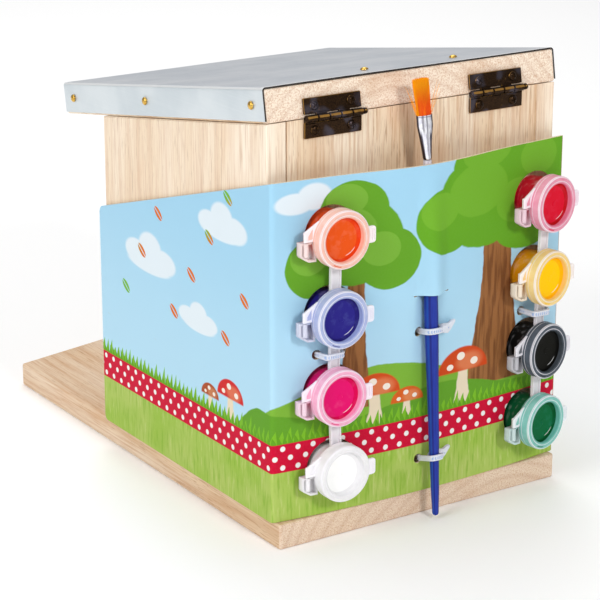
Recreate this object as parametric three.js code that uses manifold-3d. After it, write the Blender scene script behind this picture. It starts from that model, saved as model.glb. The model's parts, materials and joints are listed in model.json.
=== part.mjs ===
// A wooden squirrel feeder with its craft kit: a feeding box with a hinged, metal-covered roof on
// a long board, wrapped in a printed card sleeve that carries two strips of paint pots and a brush.
// Millimetres, +Z up. The feeder faces -Y; the hinges, the pots and the brush are at its back, +Y.
import * as THREE from 'three';
import { mergeVertices } from 'three/addons/utils/BufferGeometryUtils.js';
import Module from 'manifold-3d';

const wasm = await Module();
wasm.setup();

// ---------- Sizes

const fit = {
  seat: 0.3, // gap kept where two pieces touch
  glue: 0.2, // gap kept in a glued wood joint
  hole: 0.25, // how much wider a hole is than the shank in it, on the radius
  overrun: 2, // how far a cutter runs past the faces that it cuts
};

const box = {
  width: 132,
  depth: 123,
  wall: 8.5,
  seamHeight: 162.4, // height of the roof board's lower back edge
  edge: 0.5, // eased edges of the side walls
};

const base = {
  thickness: 10,
  sideOverhang: 0, // how far the board stands out past the side walls
  backOverhang: 8,
  sideLength: 216,
  point: 15, // how far the pointed front stands out at the middle
  cornerRadius: 1.5,
  tipRadius: 16,
  edge: 0.8,
};

const baseScrew = {
  headRadius: 3.2,
  headHeight: 2,
  shankRadius: 1.5,
  length: 26,
  sink: 0.4, // depth of the head's face under the board
  frontInset: 22, // distance of a screw from the wall's front face
  backInset: 18,
  sides: 8,
};

const pane = {
  thickness: 2,
  grooveDepth: 4,
  grooveWidth: 2.8,
  setback: 9, // from the side walls' front faces to the groove
  dropUnderRoof: 4,
};

const roof = {
  pitch: THREE.MathUtils.degToRad(9.65),
  length: 156.5, // along the slope
  sideOverhang: -0.4, // how far the board stands out past the side walls
  thickness: 12.2,
  edge: 0.4,
};

const sheet = {
  thickness: 0.6,
  gap: 0.2, // between the metal and the board
  flange: 11.4, // depth of the folded sides, from the board's top
  bendRadius: 1.3,
};

const nail = {
  headRadius: 1.6,
  headHeight: 0.9,
  shankRadius: 0.6,
  length: 8,
  sides: 8,
  flangeDrop: 5.6, // from the board's top down to a side nail
  sideInsets: [8.5, 87.5, 148.5], // from the roof's back edge, along the slope
  topInset: 15,
  topPlaceShares: [0.091, -0.224], // across the roof, as shares of its width
};

const hinge = {
  width: 25,
  leafHeight: 7.2,
  leafThickness: 0.8,
  barrelRadius: 1.35,
  pinRadius: 0.7,
  pinProud: 1.8,
  knuckles: 5,
  knuckleGap: 0.3,
  sides: 10,
  screwSpread: 16,
  screwDrop: 4.6, // from the pin's axis to the screws
  placeShares: [0.287, -0.278], // centres of the two hinges, as shares of the box's width
};

const hingeScrew = {
  headRadius: 1.8,
  headHeight: 0.8,
  shankRadius: 0.8,
  length: 6.5,
  slotWidth: 0.5,
  slotDepth: 0.45,
  sides: 12,
};

const card = {
  thickness: 1,
  sideGap: 0.6, // between the side panels and the walls
  foldStandoff: 5, // how far the outer face stands behind the back wall at the folds
  foldRadius: 1.3,
  foldSteps: 3,
  backHeight: 141.6, // top edge of the back panel, from the ground
  frontHeight: 103.2, // top edge at the front of the side panels
  frontOverlap: 2.6, // how far the side panels run past the walls' front faces
  cornerCut: 2.2,
  bow: 4.5, // how far the back panel bows out at the middle
  ridge: 4.2, // extra height of the ridge over the brush
  ridgeReach: 45,
  ridgeFade: 25, // length over which the ridge dies out below the slit
  slitHeight: 91.5,
  slitHalfLength: 8,
  slitOpening: 0.5,
  lipSpread: 4, // how far each lip of the slit is pushed out of line by the handle
  lipFade: 15,
  potHoleRadius: 10.6,
  potHoleRise: 0.6, // how far a hole's centre lies above the axis of its pot
  tieHoleRadius: 1.9,
  holeSides: 16,
  slitColumns: 8, // grid columns over the slit, and on each side of it
  sideOfSlitColumns: 8,
  rows: 13,
  sideColumns: 3,
};

const strip = {
  pots: 4,
  connectorWidth: 4.6,
  connectorThickness: 1.2,
  connectorDrop: 0.5, // from the lid's lower edge down to the connector
};
// Places of the pots across each strip are shares of the pitch between pots.
const rightStrip = {
  name: 'right',
  pitch: 30.4,
  acrossShare: 0.3295, // of the box's width
  footGap: 7.65, // from the base board up to the lowest lid
  rimStandoff: 14.8, // from the back wall to the plane of the pots' rims
  turn: 0,
  swayShares: [-0.003, 0.01, 0.02, -0.033],
  colours: ['orange', 'blue', 'pink', 'white'],
};
const leftStrip = {
  name: 'left',
  pitch: 29.6,
  acrossShare: -0.397,
  footGap: 8.8,
  rimStandoff: 16.2,
  turn: THREE.MathUtils.degToRad(11),
  swayShares: [-0.034, 0, 0.028, 0.038],
  colours: ['red', 'yellow', 'black', 'green'],
};

const pot = {
  collarRadius: 10,
  collarDepth: 4.4,
  neckRadius: 9.7,
  footRadius: 9,
  bottomRadius: 8.5,
  depth: 12.4,
  wall: 0.8,
  footEase: 0.5,
  sides: 16,
};

const lid = {
  radius: 11.1,
  wall: 0.75,
  rimLap: 2.6, // how far the skirt laps down over the pot's rim
  crown: 2.6, // height of the lid's top above the rim
  crownEase: 0.5,
  rimWidth: 2.9,
  recessDepth: 1.2,
  recessSlope: 0.3,
  topGap: 0.3,
  hingeReach: 2.6, // from the lid's edge to the axis of its hinge
  knuckleRadius: 0.9,
  strapThickness: 1,
  strapHeight: 7.4,
  strapBorder: 1.05,
  lugThickness: 1.2,
  lugHeight: 7.8,
  knuckleGap: 0.4,
  tabReach: 3.3,
  tabTop: 3.9, // from the skirt's lower edge
  tabWidth: 6.4,
  tabThickness: 1,
  tabEase: 1.2,
  knuckleSides: 8,
};

const paint = {
  gap: 0.3,
  headspace: 2.2, // from the rim down to the paint
};

const tie = {
  bandWidth: 2.4,
  bandThickness: 1,
  clearance: 0.35,
  cornerRadius: 1.2, // of the band's corners behind the card
  stripFrontRadius: 3.4, // of the band's corners in front of a pot strip
  stripReach: 5.2, // from the middle of a pot strip to the band on each side of it
  brushFrontShare: 0.94, // the corners in front of the handle, as a share of the band's half width
  headWidth: 4,
  headHeight: 4.6,
  headDepth: 3.6,
  tailLength: 3,
};

const brush = {
  acrossShare: 0.0107, // of the box's width, at the slit's height
  standoffAtSlit: 12.95, // from the back wall to the axis, at the slit's height
  tilt: Math.atan(0.038), // towards the back wall
  sideLean: Math.atan(0.02), // towards +X
  tipHeight: 2.2,
  handleTopHeight: 142.6,
  ferruleTopHeight: 159.3,
  bristleTopHeight: 172.9,
  tipRadius: 1.3,
  lowRadius: 1.65,
  lowHeight: 14,
  middleRadius: 2.1,
  middleHeight: 38,
  bellyRadius: 2.7,
  bellyHeight: 84,
  neckRadius: 1.5,
  neckHeight: 134,
  ferruleTailRadius: 1.35,
  ferruleMouthWidth: 6.8,
  ferruleMouthThickness: 3.6,
  ferruleFlatLength: 4.8,
  ferruleWall: 0.3,
  grooveDepth: 0.18,
  grooveSpacing: 1.5,
  tangLength: 3, // how far the handle's end runs into the ferrule
  sides: 12,
  handleSteps: 12,
};

const bristles = {
  backing: 1.2, // thickness of the slice that the strands grow from
  spacing: 0.172, // between neighbouring strands at their feet
  strandRadius: 0.075,
  sink: 0.3,
  spreadShare: 1.26, // width of the tuft's tip as a share of its foot
  tipShift: 1.1, // how far the tips stand to +X of their feet
  domeShare: 0.16, // how much shorter the outer strands are, as a share of the length
};

const tieHeights = { upper: 77.2, lower: 25.5 };

// ---------- Materials

const wood = new THREE.MeshStandardMaterial({ color: 0xe6caa0, roughness: 0.75, metalness: 0 });
const zinc = new THREE.MeshStandardMaterial({ color: 0xbfc5c8, roughness: 0.4, metalness: 0.8 });
const brass = new THREE.MeshStandardMaterial({ color: 0xc9a24a, roughness: 0.3, metalness: 1 });
const antique = new THREE.MeshStandardMaterial({ color: 0x3b2c18, roughness: 0.45, metalness: 0.9 });
const steel = new THREE.MeshStandardMaterial({ color: 0xc8c8c8, roughness: 0.35, metalness: 1 });
const acrylic = new THREE.MeshStandardMaterial({
  color: 0xf2f8fa, roughness: 0.05, metalness: 0, transparent: true, opacity: 0.3,
});
const printedCard = new THREE.MeshStandardMaterial({ color: 0x9ccf72, roughness: 0.55, metalness: 0 });
const clearPlastic = new THREE.MeshStandardMaterial({ color: 0xe9e6e6, roughness: 0.3, metalness: 0 });
const nylon = new THREE.MeshStandardMaterial({ color: 0xf1efec, roughness: 0.4, metalness: 0 });
const handlePaint = new THREE.MeshStandardMaterial({ color: 0x2b3a9c, roughness: 0.3, metalness: 0 });
const hair = new THREE.MeshStandardMaterial({ color: 0xe8862e, roughness: 0.6, metalness: 0 });
const paintColours = {
  orange: 0xeb5a1e,
  blue: 0x2f2c8e,
  pink: 0xe81e7a,
  white: 0xf6f6f4,
  red: 0xd8082a,
  yellow: 0xffc800,
  black: 0x14140e,
  green: 0x006b3a,
};

// ---------- Geometry helpers

// The closed mesh of a geometry, as a solid that can be joined and cut.
function toSolid(geometry) {
  const bare = new THREE.BufferGeometry();
  bare.setAttribute('position', geometry.getAttribute('position').clone());
  if (geometry.index) bare.setIndex(geometry.index.clone());
  const merged = mergeVertices(bare, 1e-4);
  return new wasm.Manifold(new wasm.Mesh({
    numProp: 3,
    vertProperties: new Float32Array(merged.getAttribute('position').array),
    triVerts: new Uint32Array(merged.index.array),
  }));
}

function toGeometry(solid) {
  const made = solid.getMesh();
  const geometry = new THREE.BufferGeometry();
  geometry.setAttribute('position', new THREE.BufferAttribute(new Float32Array(made.vertProperties), 3));
  geometry.setIndex(new THREE.BufferAttribute(new Uint32Array(made.triVerts), 1));
  geometry.computeVertexNormals();
  return geometry;
}

function cut(geometry, cutters) {
  let solid = toSolid(geometry);
  for (const cutter of cutters) solid = solid.subtract(toSolid(cutter));
  return toGeometry(solid);
}

function join(geometries) {
  let solid = toSolid(geometries[0]);
  for (const geometry of geometries.slice(1)) solid = solid.add(toSolid(geometry));
  return toGeometry(solid);
}

// A block between two corners.
function block(low, high) {
  const size = new THREE.Vector3().subVectors(high, low);
  const geometry = new THREE.BoxGeometry(size.x, size.y, size.z);
  return geometry.translate((low.x + high.x) / 2, (low.y + high.y) / 2, (low.z + high.z) / 2);
}

const at = (x, y, z) => new THREE.Vector3(x, y, z);

// Turns a geometry's X, Y and Z axes to the three given directions.
function reorient(geometry, xAxis, yAxis, zAxis) {
  return geometry.applyMatrix4(new THREE.Matrix4().makeBasis(xAxis, yAxis, zAxis));
}

const AXIS_X = at(1, 0, 0);
const AXIS_Y = at(0, 1, 0);
const AXIS_Z = at(0, 0, 1);

// An outline drawn on the YZ plane and carried along +X.
const carriedAlongX = (geometry) => reorient(geometry, AXIS_Y, AXIS_Z, AXIS_X);

// An outline drawn on the XZ plane and carried along -Y.
const carriedAgainstY = (geometry) => reorient(geometry, AXIS_X, AXIS_Z, AXIS_Y.clone().negate());

// A closed outline whose corners are rounded by the radius that each one carries.
function roundedOutline(corners) {
  const shape = new THREE.Shape();
  const count = corners.length;
  corners.forEach((corner, i) => {
    const here = new THREE.Vector2(corner.x, corner.y);
    const before = new THREE.Vector2(corners[(i + count - 1) % count].x, corners[(i + count - 1) % count].y);
    const after = new THREE.Vector2(corners[(i + 1) % count].x, corners[(i + 1) % count].y);
    const incoming = before.sub(here).normalize();
    const outgoing = after.sub(here).normalize();
    const half = Math.acos(THREE.MathUtils.clamp(incoming.dot(outgoing), -1, 1)) / 2;
    const reach = corner.r ? corner.r / Math.tan(half) : 0;
    const start = here.clone().addScaledVector(incoming, reach);
    const end = here.clone().addScaledVector(outgoing, reach);
    if (i === 0) shape.moveTo(start.x, start.y);
    else shape.lineTo(start.x, start.y);
    if (reach) shape.quadraticCurveTo(here.x, here.y, end.x, end.y);
  });
  shape.closePath();
  return shape;
}

// An outline carried straight for a depth, its two rims eased by a small bevel within that depth.
function extrude(shape, depth, ease, curveSegments) {
  return new THREE.ExtrudeGeometry(shape, {
    depth: depth - 2 * ease,
    bevelEnabled: ease > 0,
    bevelThickness: ease,
    bevelSize: ease,
    bevelOffset: -ease,
    bevelSegments: 1,
    curveSegments,
    steps: 1,
  }).translate(0, 0, ease);
}

// A profile of [radius, height] pairs turned about the Y axis.
function turned(profile, sides) {
  return new THREE.LatheGeometry(profile.map(([r, h]) => new THREE.Vector2(r, h)), sides);
}

// A round bar along Y from one height to another.
function bar(radius, low, high, sides) {
  return turned([[0, low], [radius, low], [radius, high], [0, high]], sides);
}

// A round bar along X, and one along Z, from one place to another.
const barAlongX = (radius, low, high, sides) => bar(radius, low, high, sides).rotateZ(-Math.PI / 2);
const barAlongZ = (radius, low, high, sides) => bar(radius, low, high, sides).rotateX(Math.PI / 2);

function mesh(name, geometry, material) {
  const made = new THREE.Mesh(geometry, material);
  made.name = name;
  return made;
}

const half = (value) => value / 2;

// ---------- Wooden box

const baseTop = base.thickness;
const wallFoot = baseTop + fit.glue;
const insideHalf = half(box.width) - box.wall;
const baseHalf = half(box.width) + base.sideOverhang;
const roofHalf = half(box.width) + roof.sideOverhang;
const brushAcross = box.width * brush.acrossShare;
const hingeCentres = hinge.placeShares.map((share) => share * box.width);
const slope = Math.tan(roof.pitch);

// Height of the roof board's underside over a place from front to back.
const roofUnderside = (y) => box.seamHeight + slope * y;

// The outline of a wall's end, on the YZ plane, under the sloping roof.
function slopedProfile(backY, frontY, foot) {
  const drop = fit.seat / Math.cos(roof.pitch);
  return roundedOutline([
    { x: frontY, y: foot },
    { x: backY, y: foot },
    { x: backY, y: roofUnderside(backY) - drop },
    { x: frontY, y: roofUnderside(frontY) - drop },
  ]);
}

// Screws stand under each side wall, near its front and its back.
const baseScrewPlaces = [];
for (const side of [1, -1]) {
  for (const y of [-baseScrew.backInset, baseScrew.frontInset - box.depth]) {
    baseScrewPlaces.push({ x: side * (half(box.width) - half(box.wall)), y });
  }
}

// A countersunk wood screw, its head's face down at its origin, grown all round by a margin.
function countersunkScrew(grow) {
  return turned([
    [0, -grow],
    [baseScrew.headRadius + grow, -grow],
    [baseScrew.shankRadius + grow, baseScrew.headHeight + grow],
    [baseScrew.shankRadius + grow, baseScrew.length - baseScrew.headRadius + grow],
    [0, baseScrew.length + grow],
  ], baseScrew.sides).rotateX(half(Math.PI));
}

function baseScrewCutters() {
  return baseScrewPlaces.map(({ x, y }) => countersunkScrew(fit.hole).translate(x, y, baseScrew.sink));
}

function baseBoard() {
  const back = base.backOverhang;
  const shoulder = back - base.sideLength;
  const corners = [
    { x: baseHalf, y: back, r: base.cornerRadius },
    { x: -baseHalf, y: back, r: base.cornerRadius },
    { x: -baseHalf, y: shoulder, r: base.cornerRadius },
    { x: 0, y: shoulder - base.point, r: base.tipRadius },
    { x: baseHalf, y: shoulder, r: base.cornerRadius },
  ];
  const board = extrude(roundedOutline(corners), base.thickness, base.edge, 4);
  const wells = baseScrewPlaces.map(({ x, y }) =>
    barAlongZ(baseScrew.headRadius + fit.hole, -baseScrew.sink, fit.overrun, baseScrew.sides)
      .translate(x, y, -fit.overrun + baseScrew.sink));
  return mesh('base_board', cut(board, [...baseScrewCutters(), ...wells]), wood);
}

const grooveBackY = -box.depth + pane.setback + pane.grooveWidth;

function sideWall(name, side) {
  const inner = side * insideHalf;
  const outer = side * half(box.width);
  const wall = carriedAlongX(extrude(slopedProfile(0, -box.depth, wallFoot), box.wall, box.edge, 1));
  wall.translate(Math.min(inner, outer), 0, 0);
  const grooveFloor = inner + side * pane.grooveDepth;
  const grooveMouth = inner - side * fit.overrun;
  const groove = block(
    at(Math.min(grooveFloor, grooveMouth), grooveBackY - pane.grooveWidth, wallFoot - fit.overrun),
    at(Math.max(grooveFloor, grooveMouth), grooveBackY, box.seamHeight),
  );
  return mesh(name, cut(wall, [groove, ...baseScrewCutters()]), wood);
}

function backWall() {
  const width = 2 * (insideHalf - fit.glue);
  const wall = carriedAlongX(extrude(slopedProfile(0, -box.wall, wallFoot), width, 0, 1));
  wall.translate(-half(width), 0, 0);
  return mesh('back_wall', cut(wall, wallScrewCutters()), wood);
}

function windowPane() {
  const sideways = insideHalf + pane.grooveDepth - fit.seat;
  const middle = grooveBackY - half(pane.grooveWidth);
  const top = roofUnderside(middle) - pane.dropUnderRoof;
  const low = at(-sideways, middle - half(pane.thickness), wallFoot + fit.glue);
  const high = at(sideways, middle + half(pane.thickness), top);
  return mesh('window_pane', block(low, high), acrylic);
}

function baseScrews() {
  return baseScrewPlaces.map(({ x, y }, i) =>
    mesh(`base_screw_${i + 1}`, countersunkScrew(0).translate(x, y, baseScrew.sink), steel));
}

// ---------- Roof, in a frame at the board's lower back edge, turned to the pitch

const sheetInner = roofHalf + sheet.gap;
const sheetOuter = sheetInner + sheet.thickness;
const sheetUnder = roof.thickness + sheet.gap;
const sheetTop = sheetUnder + sheet.thickness;

// Each nail of the roof: its head's seat and the direction that its head points.
const roofNails = [];
for (const side of [1, -1]) {
  for (const inset of nail.sideInsets) {
    roofNails.push({ seat: at(side * sheetOuter, -inset, roof.thickness - nail.flangeDrop), out: at(side, 0, 0) });
  }
}
for (const share of nail.topPlaceShares) {
  roofNails.push({ seat: at(2 * roofHalf * share, -nail.topInset, sheetTop), out: at(0, 0, 1) });
}

// A domed nail along Y, its head's underside at the origin and its point below.
function nailForm(headRadius, headHeight, shankRadius, length) {
  const rise = [1, 0.6].map((share) => [headRadius * share, headHeight * Math.sqrt(1 - share * share)]);
  return turned([
    [0, -length],
    [shankRadius, -length + 2 * shankRadius],
    [shankRadius, 0],
    ...rise,
    [0, headHeight],
  ], nail.sides);
}

function placedNail(form, { seat, out }, lift) {
  const turn = new THREE.Quaternion().setFromUnitVectors(AXIS_Y, out);
  return form.applyQuaternion(turn).translate(...seat.clone().addScaledVector(out, lift));
}

function nailCutters() {
  return roofNails.map((place) =>
    placedNail(bar(nail.shankRadius + fit.hole, -nail.length - fit.hole, fit.overrun, 8), place, fit.seat));
}

// The screw of the roof's half of each hinge goes into the board's back edge.
function roofScrewCutters() {
  return hingeScrewPlaces(1).map((place) => hingeScrewCutter(place));
}

function wallScrewCutters() {
  return hingeScrewPlaces(-1).map((place) => hingeScrewCutter(place));
}

function roofBoard() {
  const outline = roundedOutline([
    { x: -roofHalf, y: -roof.length },
    { x: roofHalf, y: -roof.length },
    { x: roofHalf, y: 0 },
    { x: -roofHalf, y: 0 },
  ]);
  const board = extrude(outline, roof.thickness, roof.edge, 1);
  return mesh('roof_board', cut(board, [...nailCutters(), ...roofScrewCutters()]), wood);
}

function roofSheet() {
  const hem = roof.thickness - sheet.flange;
  const innerRadius = sheet.bendRadius - sheet.thickness;
  const outline = roundedOutline([
    { x: -sheetOuter, y: hem },
    { x: -sheetInner, y: hem },
    { x: -sheetInner, y: sheetUnder, r: innerRadius },
    { x: sheetInner, y: sheetUnder, r: innerRadius },
    { x: sheetInner, y: hem },
    { x: sheetOuter, y: hem },
    { x: sheetOuter, y: sheetTop, r: sheet.bendRadius },
    { x: -sheetOuter, y: sheetTop, r: sheet.bendRadius },
  ]);
  const folded = carriedAgainstY(extrude(outline, roof.length, 0, 4));
  return mesh('roof_sheet', cut(folded, nailCutters()), zinc);
}

function roofGroup() {
  const group = new THREE.Group();
  group.position.set(0, 0, box.seamHeight);
  group.rotation.x = roof.pitch;
  group.add(roofBoard(), roofSheet());
  roofNails.forEach((place, i) => {
    const form = nailForm(nail.headRadius, nail.headHeight, nail.shankRadius, nail.length);
    group.add(mesh(`roof_nail_${i + 1}`, placedNail(form, place, fit.seat), brass));
  });
  for (const piece of hingePieces(1)) group.add(piece);
  return group;
}

// ---------- Hinges. The pin's axis lies level with the seam, clear of the wood behind it.

const barrelStandoff = hinge.barrelRadius + fit.seat;
const leafBack = fit.seat;
const knucklePitch = hinge.width / hinge.knuckles;

// In the roof's frame the pin's axis has other coordinates than in the wall's frame.
const pinInWall = new THREE.Vector2(barrelStandoff, box.seamHeight);
const pinInRoof = new THREE.Vector2(barrelStandoff * Math.cos(roof.pitch), -barrelStandoff * Math.sin(roof.pitch));

// Which way is +1 for the roof's leaf, above the pin, and -1 for the wall's leaf, below it.
const pinFor = (way) => (way > 0 ? pinInRoof : pinInWall);

function hingeScrewPlaces(way) {
  const pin = pinFor(way);
  return hingeCentres.flatMap((offset) => [1, -1].map((side) => ({
    seat: at(offset + side * half(hinge.screwSpread), leafBack + hinge.leafThickness, pin.y + way * hinge.screwDrop),
    out: AXIS_Y,
  })));
}

function hingeScrewCutter(place) {
  const reach = hingeScrew.length + hinge.leafThickness + fit.hole;
  return placedNail(bar(hingeScrew.shankRadius + fit.hole, -reach, fit.overrun, 8), place, 0);
}

// One leaf: a plate on the wood that meets the barrel, and every second knuckle of the barrel.
function hingeLeaf(way, offset) {
  const pin = pinFor(way);
  const low = offset - half(hinge.width);
  const plateNear = pin.y + way * (hinge.barrelRadius + hinge.knuckleGap);
  const plateFar = pin.y + way * (hinge.barrelRadius + hinge.knuckleGap + hinge.leafHeight - hinge.barrelRadius);
  const solids = [block(
    at(low, leafBack, Math.min(plateNear, plateFar)),
    at(low + hinge.width, leafBack + hinge.leafThickness, Math.max(plateNear, plateFar)),
  )];
  for (let i = way > 0 ? 1 : 0; i < hinge.knuckles; i += 2) {
    const start = low + i * knucklePitch + half(hinge.knuckleGap);
    const end = low + (i + 1) * knucklePitch - half(hinge.knuckleGap);
    solids.push(barAlongX(hinge.barrelRadius, start, end, hinge.sides).translate(0, pin.x, pin.y));
    solids.push(block(
      at(start, leafBack, Math.min(pin.y, plateNear + way * hinge.knuckleGap)),
      at(end, leafBack + hinge.leafThickness, Math.max(pin.y, plateNear + way * hinge.knuckleGap)),
    ));
  }
  const bore = barAlongX(hinge.pinRadius + fit.hole, low - fit.overrun, low + hinge.width + fit.overrun, hinge.sides)
    .translate(0, pin.x, pin.y);
  const screwHoles = hingeScrewPlaces(way).map((place) => hingeScrewCutter(place));
  return cut(join(solids), [bore, ...screwHoles]);
}

// A domed screw with a crossed slot, seated on the leaf.
function hingeScrewForm() {
  const form = nailForm(hingeScrew.headRadius, hingeScrew.headHeight, hingeScrew.shankRadius, hingeScrew.length);
  const slotFloor = hingeScrew.headHeight - hingeScrew.slotDepth;
  const reach = half(hingeScrew.headRadius) + hingeScrew.slotWidth;
  const wide = half(hingeScrew.slotWidth);
  const bars = [
    block(at(-reach, slotFloor, -wide), at(reach, hingeScrew.headHeight + fit.overrun, wide)),
    block(at(-wide, slotFloor, -reach), at(wide, hingeScrew.headHeight + fit.overrun, reach)),
  ];
  return cut(form, bars);
}

function hingePieces(way) {
  const part = way > 0 ? 'roof' : 'wall';
  const pieces = hingeCentres.map((offset) =>
    mesh(`hinge_${offset > 0 ? 'right' : 'left'}_${part}_leaf`, hingeLeaf(way, offset), antique));
  hingeScrewPlaces(way).forEach((place, i) => {
    const side = place.seat.x > 0 ? 'right' : 'left';
    pieces.push(mesh(`hinge_${side}_${part}_screw_${(i % 2) + 1}`, placedNail(hingeScrewForm(), place, fit.seat), antique));
  });
  return pieces;
}

function hingePins() {
  return hingeCentres.map((offset) => {
    const low = offset - half(hinge.width);
    const form = turned([
      [0, low - hinge.pinProud],
      [half(hinge.pinRadius), low - hinge.pinProud],
      [hinge.pinRadius, low - hinge.pinProud + half(hinge.pinRadius)],
      [hinge.pinRadius, low + hinge.width],
      [0, low + hinge.width],
    ], hinge.sides).rotateZ(-half(Math.PI));
    return mesh(`hinge_${offset > 0 ? 'right' : 'left'}_pin`, form.translate(0, pinInWall.x, pinInWall.y), antique);
  });
}

// ---------- Paint pots. A pot's own frame: the axis along +Y, zero at the lid skirt's lower edge.

const rimHeight = lid.rimLap;
const potBottom = rimHeight - pot.depth;
const hingeAcross = lid.radius + lid.hingeReach;

// Radius of the pot's inner wall at a height.
function innerWall(height) {
  const share = (height - potBottom) / pot.depth;
  return THREE.MathUtils.lerp(pot.bottomRadius, pot.collarRadius - fit.seat, share) - pot.wall;
}

function potForm() {
  const floor = potBottom + pot.wall;
  return turned([
    [0, potBottom],
    [pot.bottomRadius, potBottom],
    [pot.footRadius, potBottom + pot.footEase],
    [pot.neckRadius, rimHeight - pot.collarDepth],
    [pot.collarRadius, rimHeight - pot.collarDepth + pot.footEase],
    [pot.collarRadius, rimHeight],
    [innerWall(rimHeight), rimHeight],
    [innerWall(floor), floor],
    [0, floor],
  ], pot.sides);
}

// The plain body that clears the inside of a pot of whatever is joined to its wall.
function potCore() {
  const floor = potBottom + pot.wall;
  return turned([
    [0, floor],
    [innerWall(floor), floor],
    [innerWall(rimHeight), rimHeight],
    [innerWall(rimHeight), rimHeight + fit.overrun],
    [0, rimHeight + fit.overrun],
  ], pot.sides);
}

// The pot's half of the lid's hinge: a rounded lug that ends in a knuckle, below the middle.
function potLug() {
  const top = -half(lid.knuckleGap);
  const outline = roundedOutline([
    { x: pot.neckRadius - pot.wall, y: top },
    { x: pot.neckRadius - pot.wall, y: top - lid.lugHeight },
    { x: hingeAcross - lid.knuckleRadius, y: top - lid.lugHeight, r: half(lid.hingeReach) },
    { x: hingeAcross, y: top - lid.lugHeight + lid.hingeReach, r: half(lid.hingeReach) },
    { x: hingeAcross, y: top },
  ]);
  const plate = carriedAgainstY(extrude(outline, lid.lugThickness, 0, 3)).translate(0, -fit.seat, 0);
  const knuckle = barAlongZ(lid.knuckleRadius, top - lid.lugHeight + lid.hingeReach, top, lid.knuckleSides);
  return [plate, knuckle.translate(hingeAcross, 0, 0)];
}

function lidForm() {
  const top = rimHeight + lid.crown;
  const rim = lid.radius - lid.rimWidth;
  const skirtInside = lid.radius - lid.wall;
  const underside = rimHeight + lid.topGap;
  return turned([
    [0, underside],
    [skirtInside, underside],
    [skirtInside, 0],
    [lid.radius, 0],
    [lid.radius, top - lid.crownEase],
    [lid.radius - lid.crownEase, top],
    [rim, top],
    [rim - lid.recessSlope, top - lid.recessDepth],
    [0, top - lid.recessDepth],
  ], pot.sides);
}

// The lid's strap: a plate with a three-cornered window, above the middle, ending in a knuckle.
function lidStrap() {
  const foot = half(lid.knuckleGap);
  const shoulder = Math.sqrt(lid.radius ** 2 - lid.strapHeight ** 2);
  const inside = lid.radius - lid.wall;
  const outline = roundedOutline([
    { x: inside, y: foot },
    { x: hingeAcross, y: foot },
    { x: hingeAcross, y: foot + half(lid.strapHeight) },
    { x: shoulder, y: foot + lid.strapHeight },
    { x: shoulder - lid.wall, y: foot + half(lid.strapHeight) },
  ]);
  const window = roundedOutline([
    { x: lid.radius + half(lid.wall), y: foot + lid.strapBorder },
    { x: hingeAcross - lid.strapBorder, y: foot + lid.strapBorder },
    { x: lid.radius + half(lid.wall), y: foot + half(lid.strapHeight) + lid.strapBorder },
  ]);
  const plate = carriedAgainstY(extrude(outline, lid.strapThickness, 0, 1)).translate(0, lid.strapThickness, 0);
  const hole = carriedAgainstY(extrude(window, lid.strapThickness + 2 * fit.overrun, 0, 1))
    .translate(0, lid.strapThickness + fit.overrun, 0);
  const knuckle = barAlongZ(lid.knuckleRadius, foot, foot + half(lid.strapHeight), lid.knuckleSides);
  return { solids: [plate, knuckle.translate(hingeAcross, 0, 0)], hole };
}

// The thumb tab on the far side of the lid from its hinge.
function lidTab() {
  const edge = -lid.radius - lid.tabReach;
  const outline = roundedOutline([
    { x: -lid.radius + lid.wall, y: -half(lid.tabWidth) },
    { x: -lid.radius + lid.wall, y: half(lid.tabWidth) },
    { x: edge, y: half(lid.tabWidth), r: lid.tabEase },
    { x: edge, y: -half(lid.tabWidth), r: lid.tabEase },
  ]);
  return carriedAgainstY(extrude(outline, lid.tabThickness, 0, 2)).translate(0, lid.tabTop, 0);
}

// The hollow under the lid, which clears the tab and the strap from the pot's rim.
function lidHollow() {
  return bar(lid.radius - lid.wall, -fit.overrun, rimHeight + lid.topGap, pot.sides);
}

function lidGeometry() {
  const strap = lidStrap();
  const joined = join([lidForm(), ...strap.solids, lidTab()]);
  return cut(joined, [strap.hole, lidHollow()]);
}

function paintForm() {
  const low = potBottom + pot.wall + paint.gap;
  const high = rimHeight - paint.headspace;
  return turned([
    [0, low],
    [innerWall(low) - paint.gap, low],
    [innerWall(high) - paint.gap, high],
    [0, high],
  ], pot.sides);
}

// Places of a strip's pots in the strip's frame, from the top pot down.
function potPlaces(layout) {
  return layout.swayShares.map((share, i) => ({
    x: share * layout.pitch,
    z: -i * layout.pitch,
    colour: layout.colours[i],
  }));
}

// The flat link between two neighbouring pots, under the lids' edges.
function connector(from, to) {
  const top = -strip.connectorDrop;
  const length = Math.hypot(to.x - from.x, to.z - from.z);
  const link = block(
    at(-half(strip.connectorWidth), top - strip.connectorThickness, -half(length)),
    at(half(strip.connectorWidth), top, half(length)),
  );
  link.rotateY(Math.atan2(to.x - from.x, to.z - from.z) + Math.PI);
  return link.translate(half(from.x + to.x), 0, half(from.z + to.z));
}

function stripGeometry(layout) {
  const places = potPlaces(layout);
  const solids = [];
  places.forEach(({ x, z }, i) => {
    solids.push(potForm().translate(x, 0, z));
    for (const lug of potLug()) solids.push(lug.translate(x, 0, z));
    if (i > 0) solids.push(connector(places[i - 1], places[i]));
  });
  return cut(join(solids), places.map(({ x, z }) => potCore().translate(x, 0, z)));
}

const topPotHeight = (layout) => baseTop + layout.footGap + lid.radius + (strip.pots - 1) * layout.pitch;
const stripOrigin = (layout) => at(layout.acrossShare * box.width, layout.rimStandoff - rimHeight, topPotHeight(layout));

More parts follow.
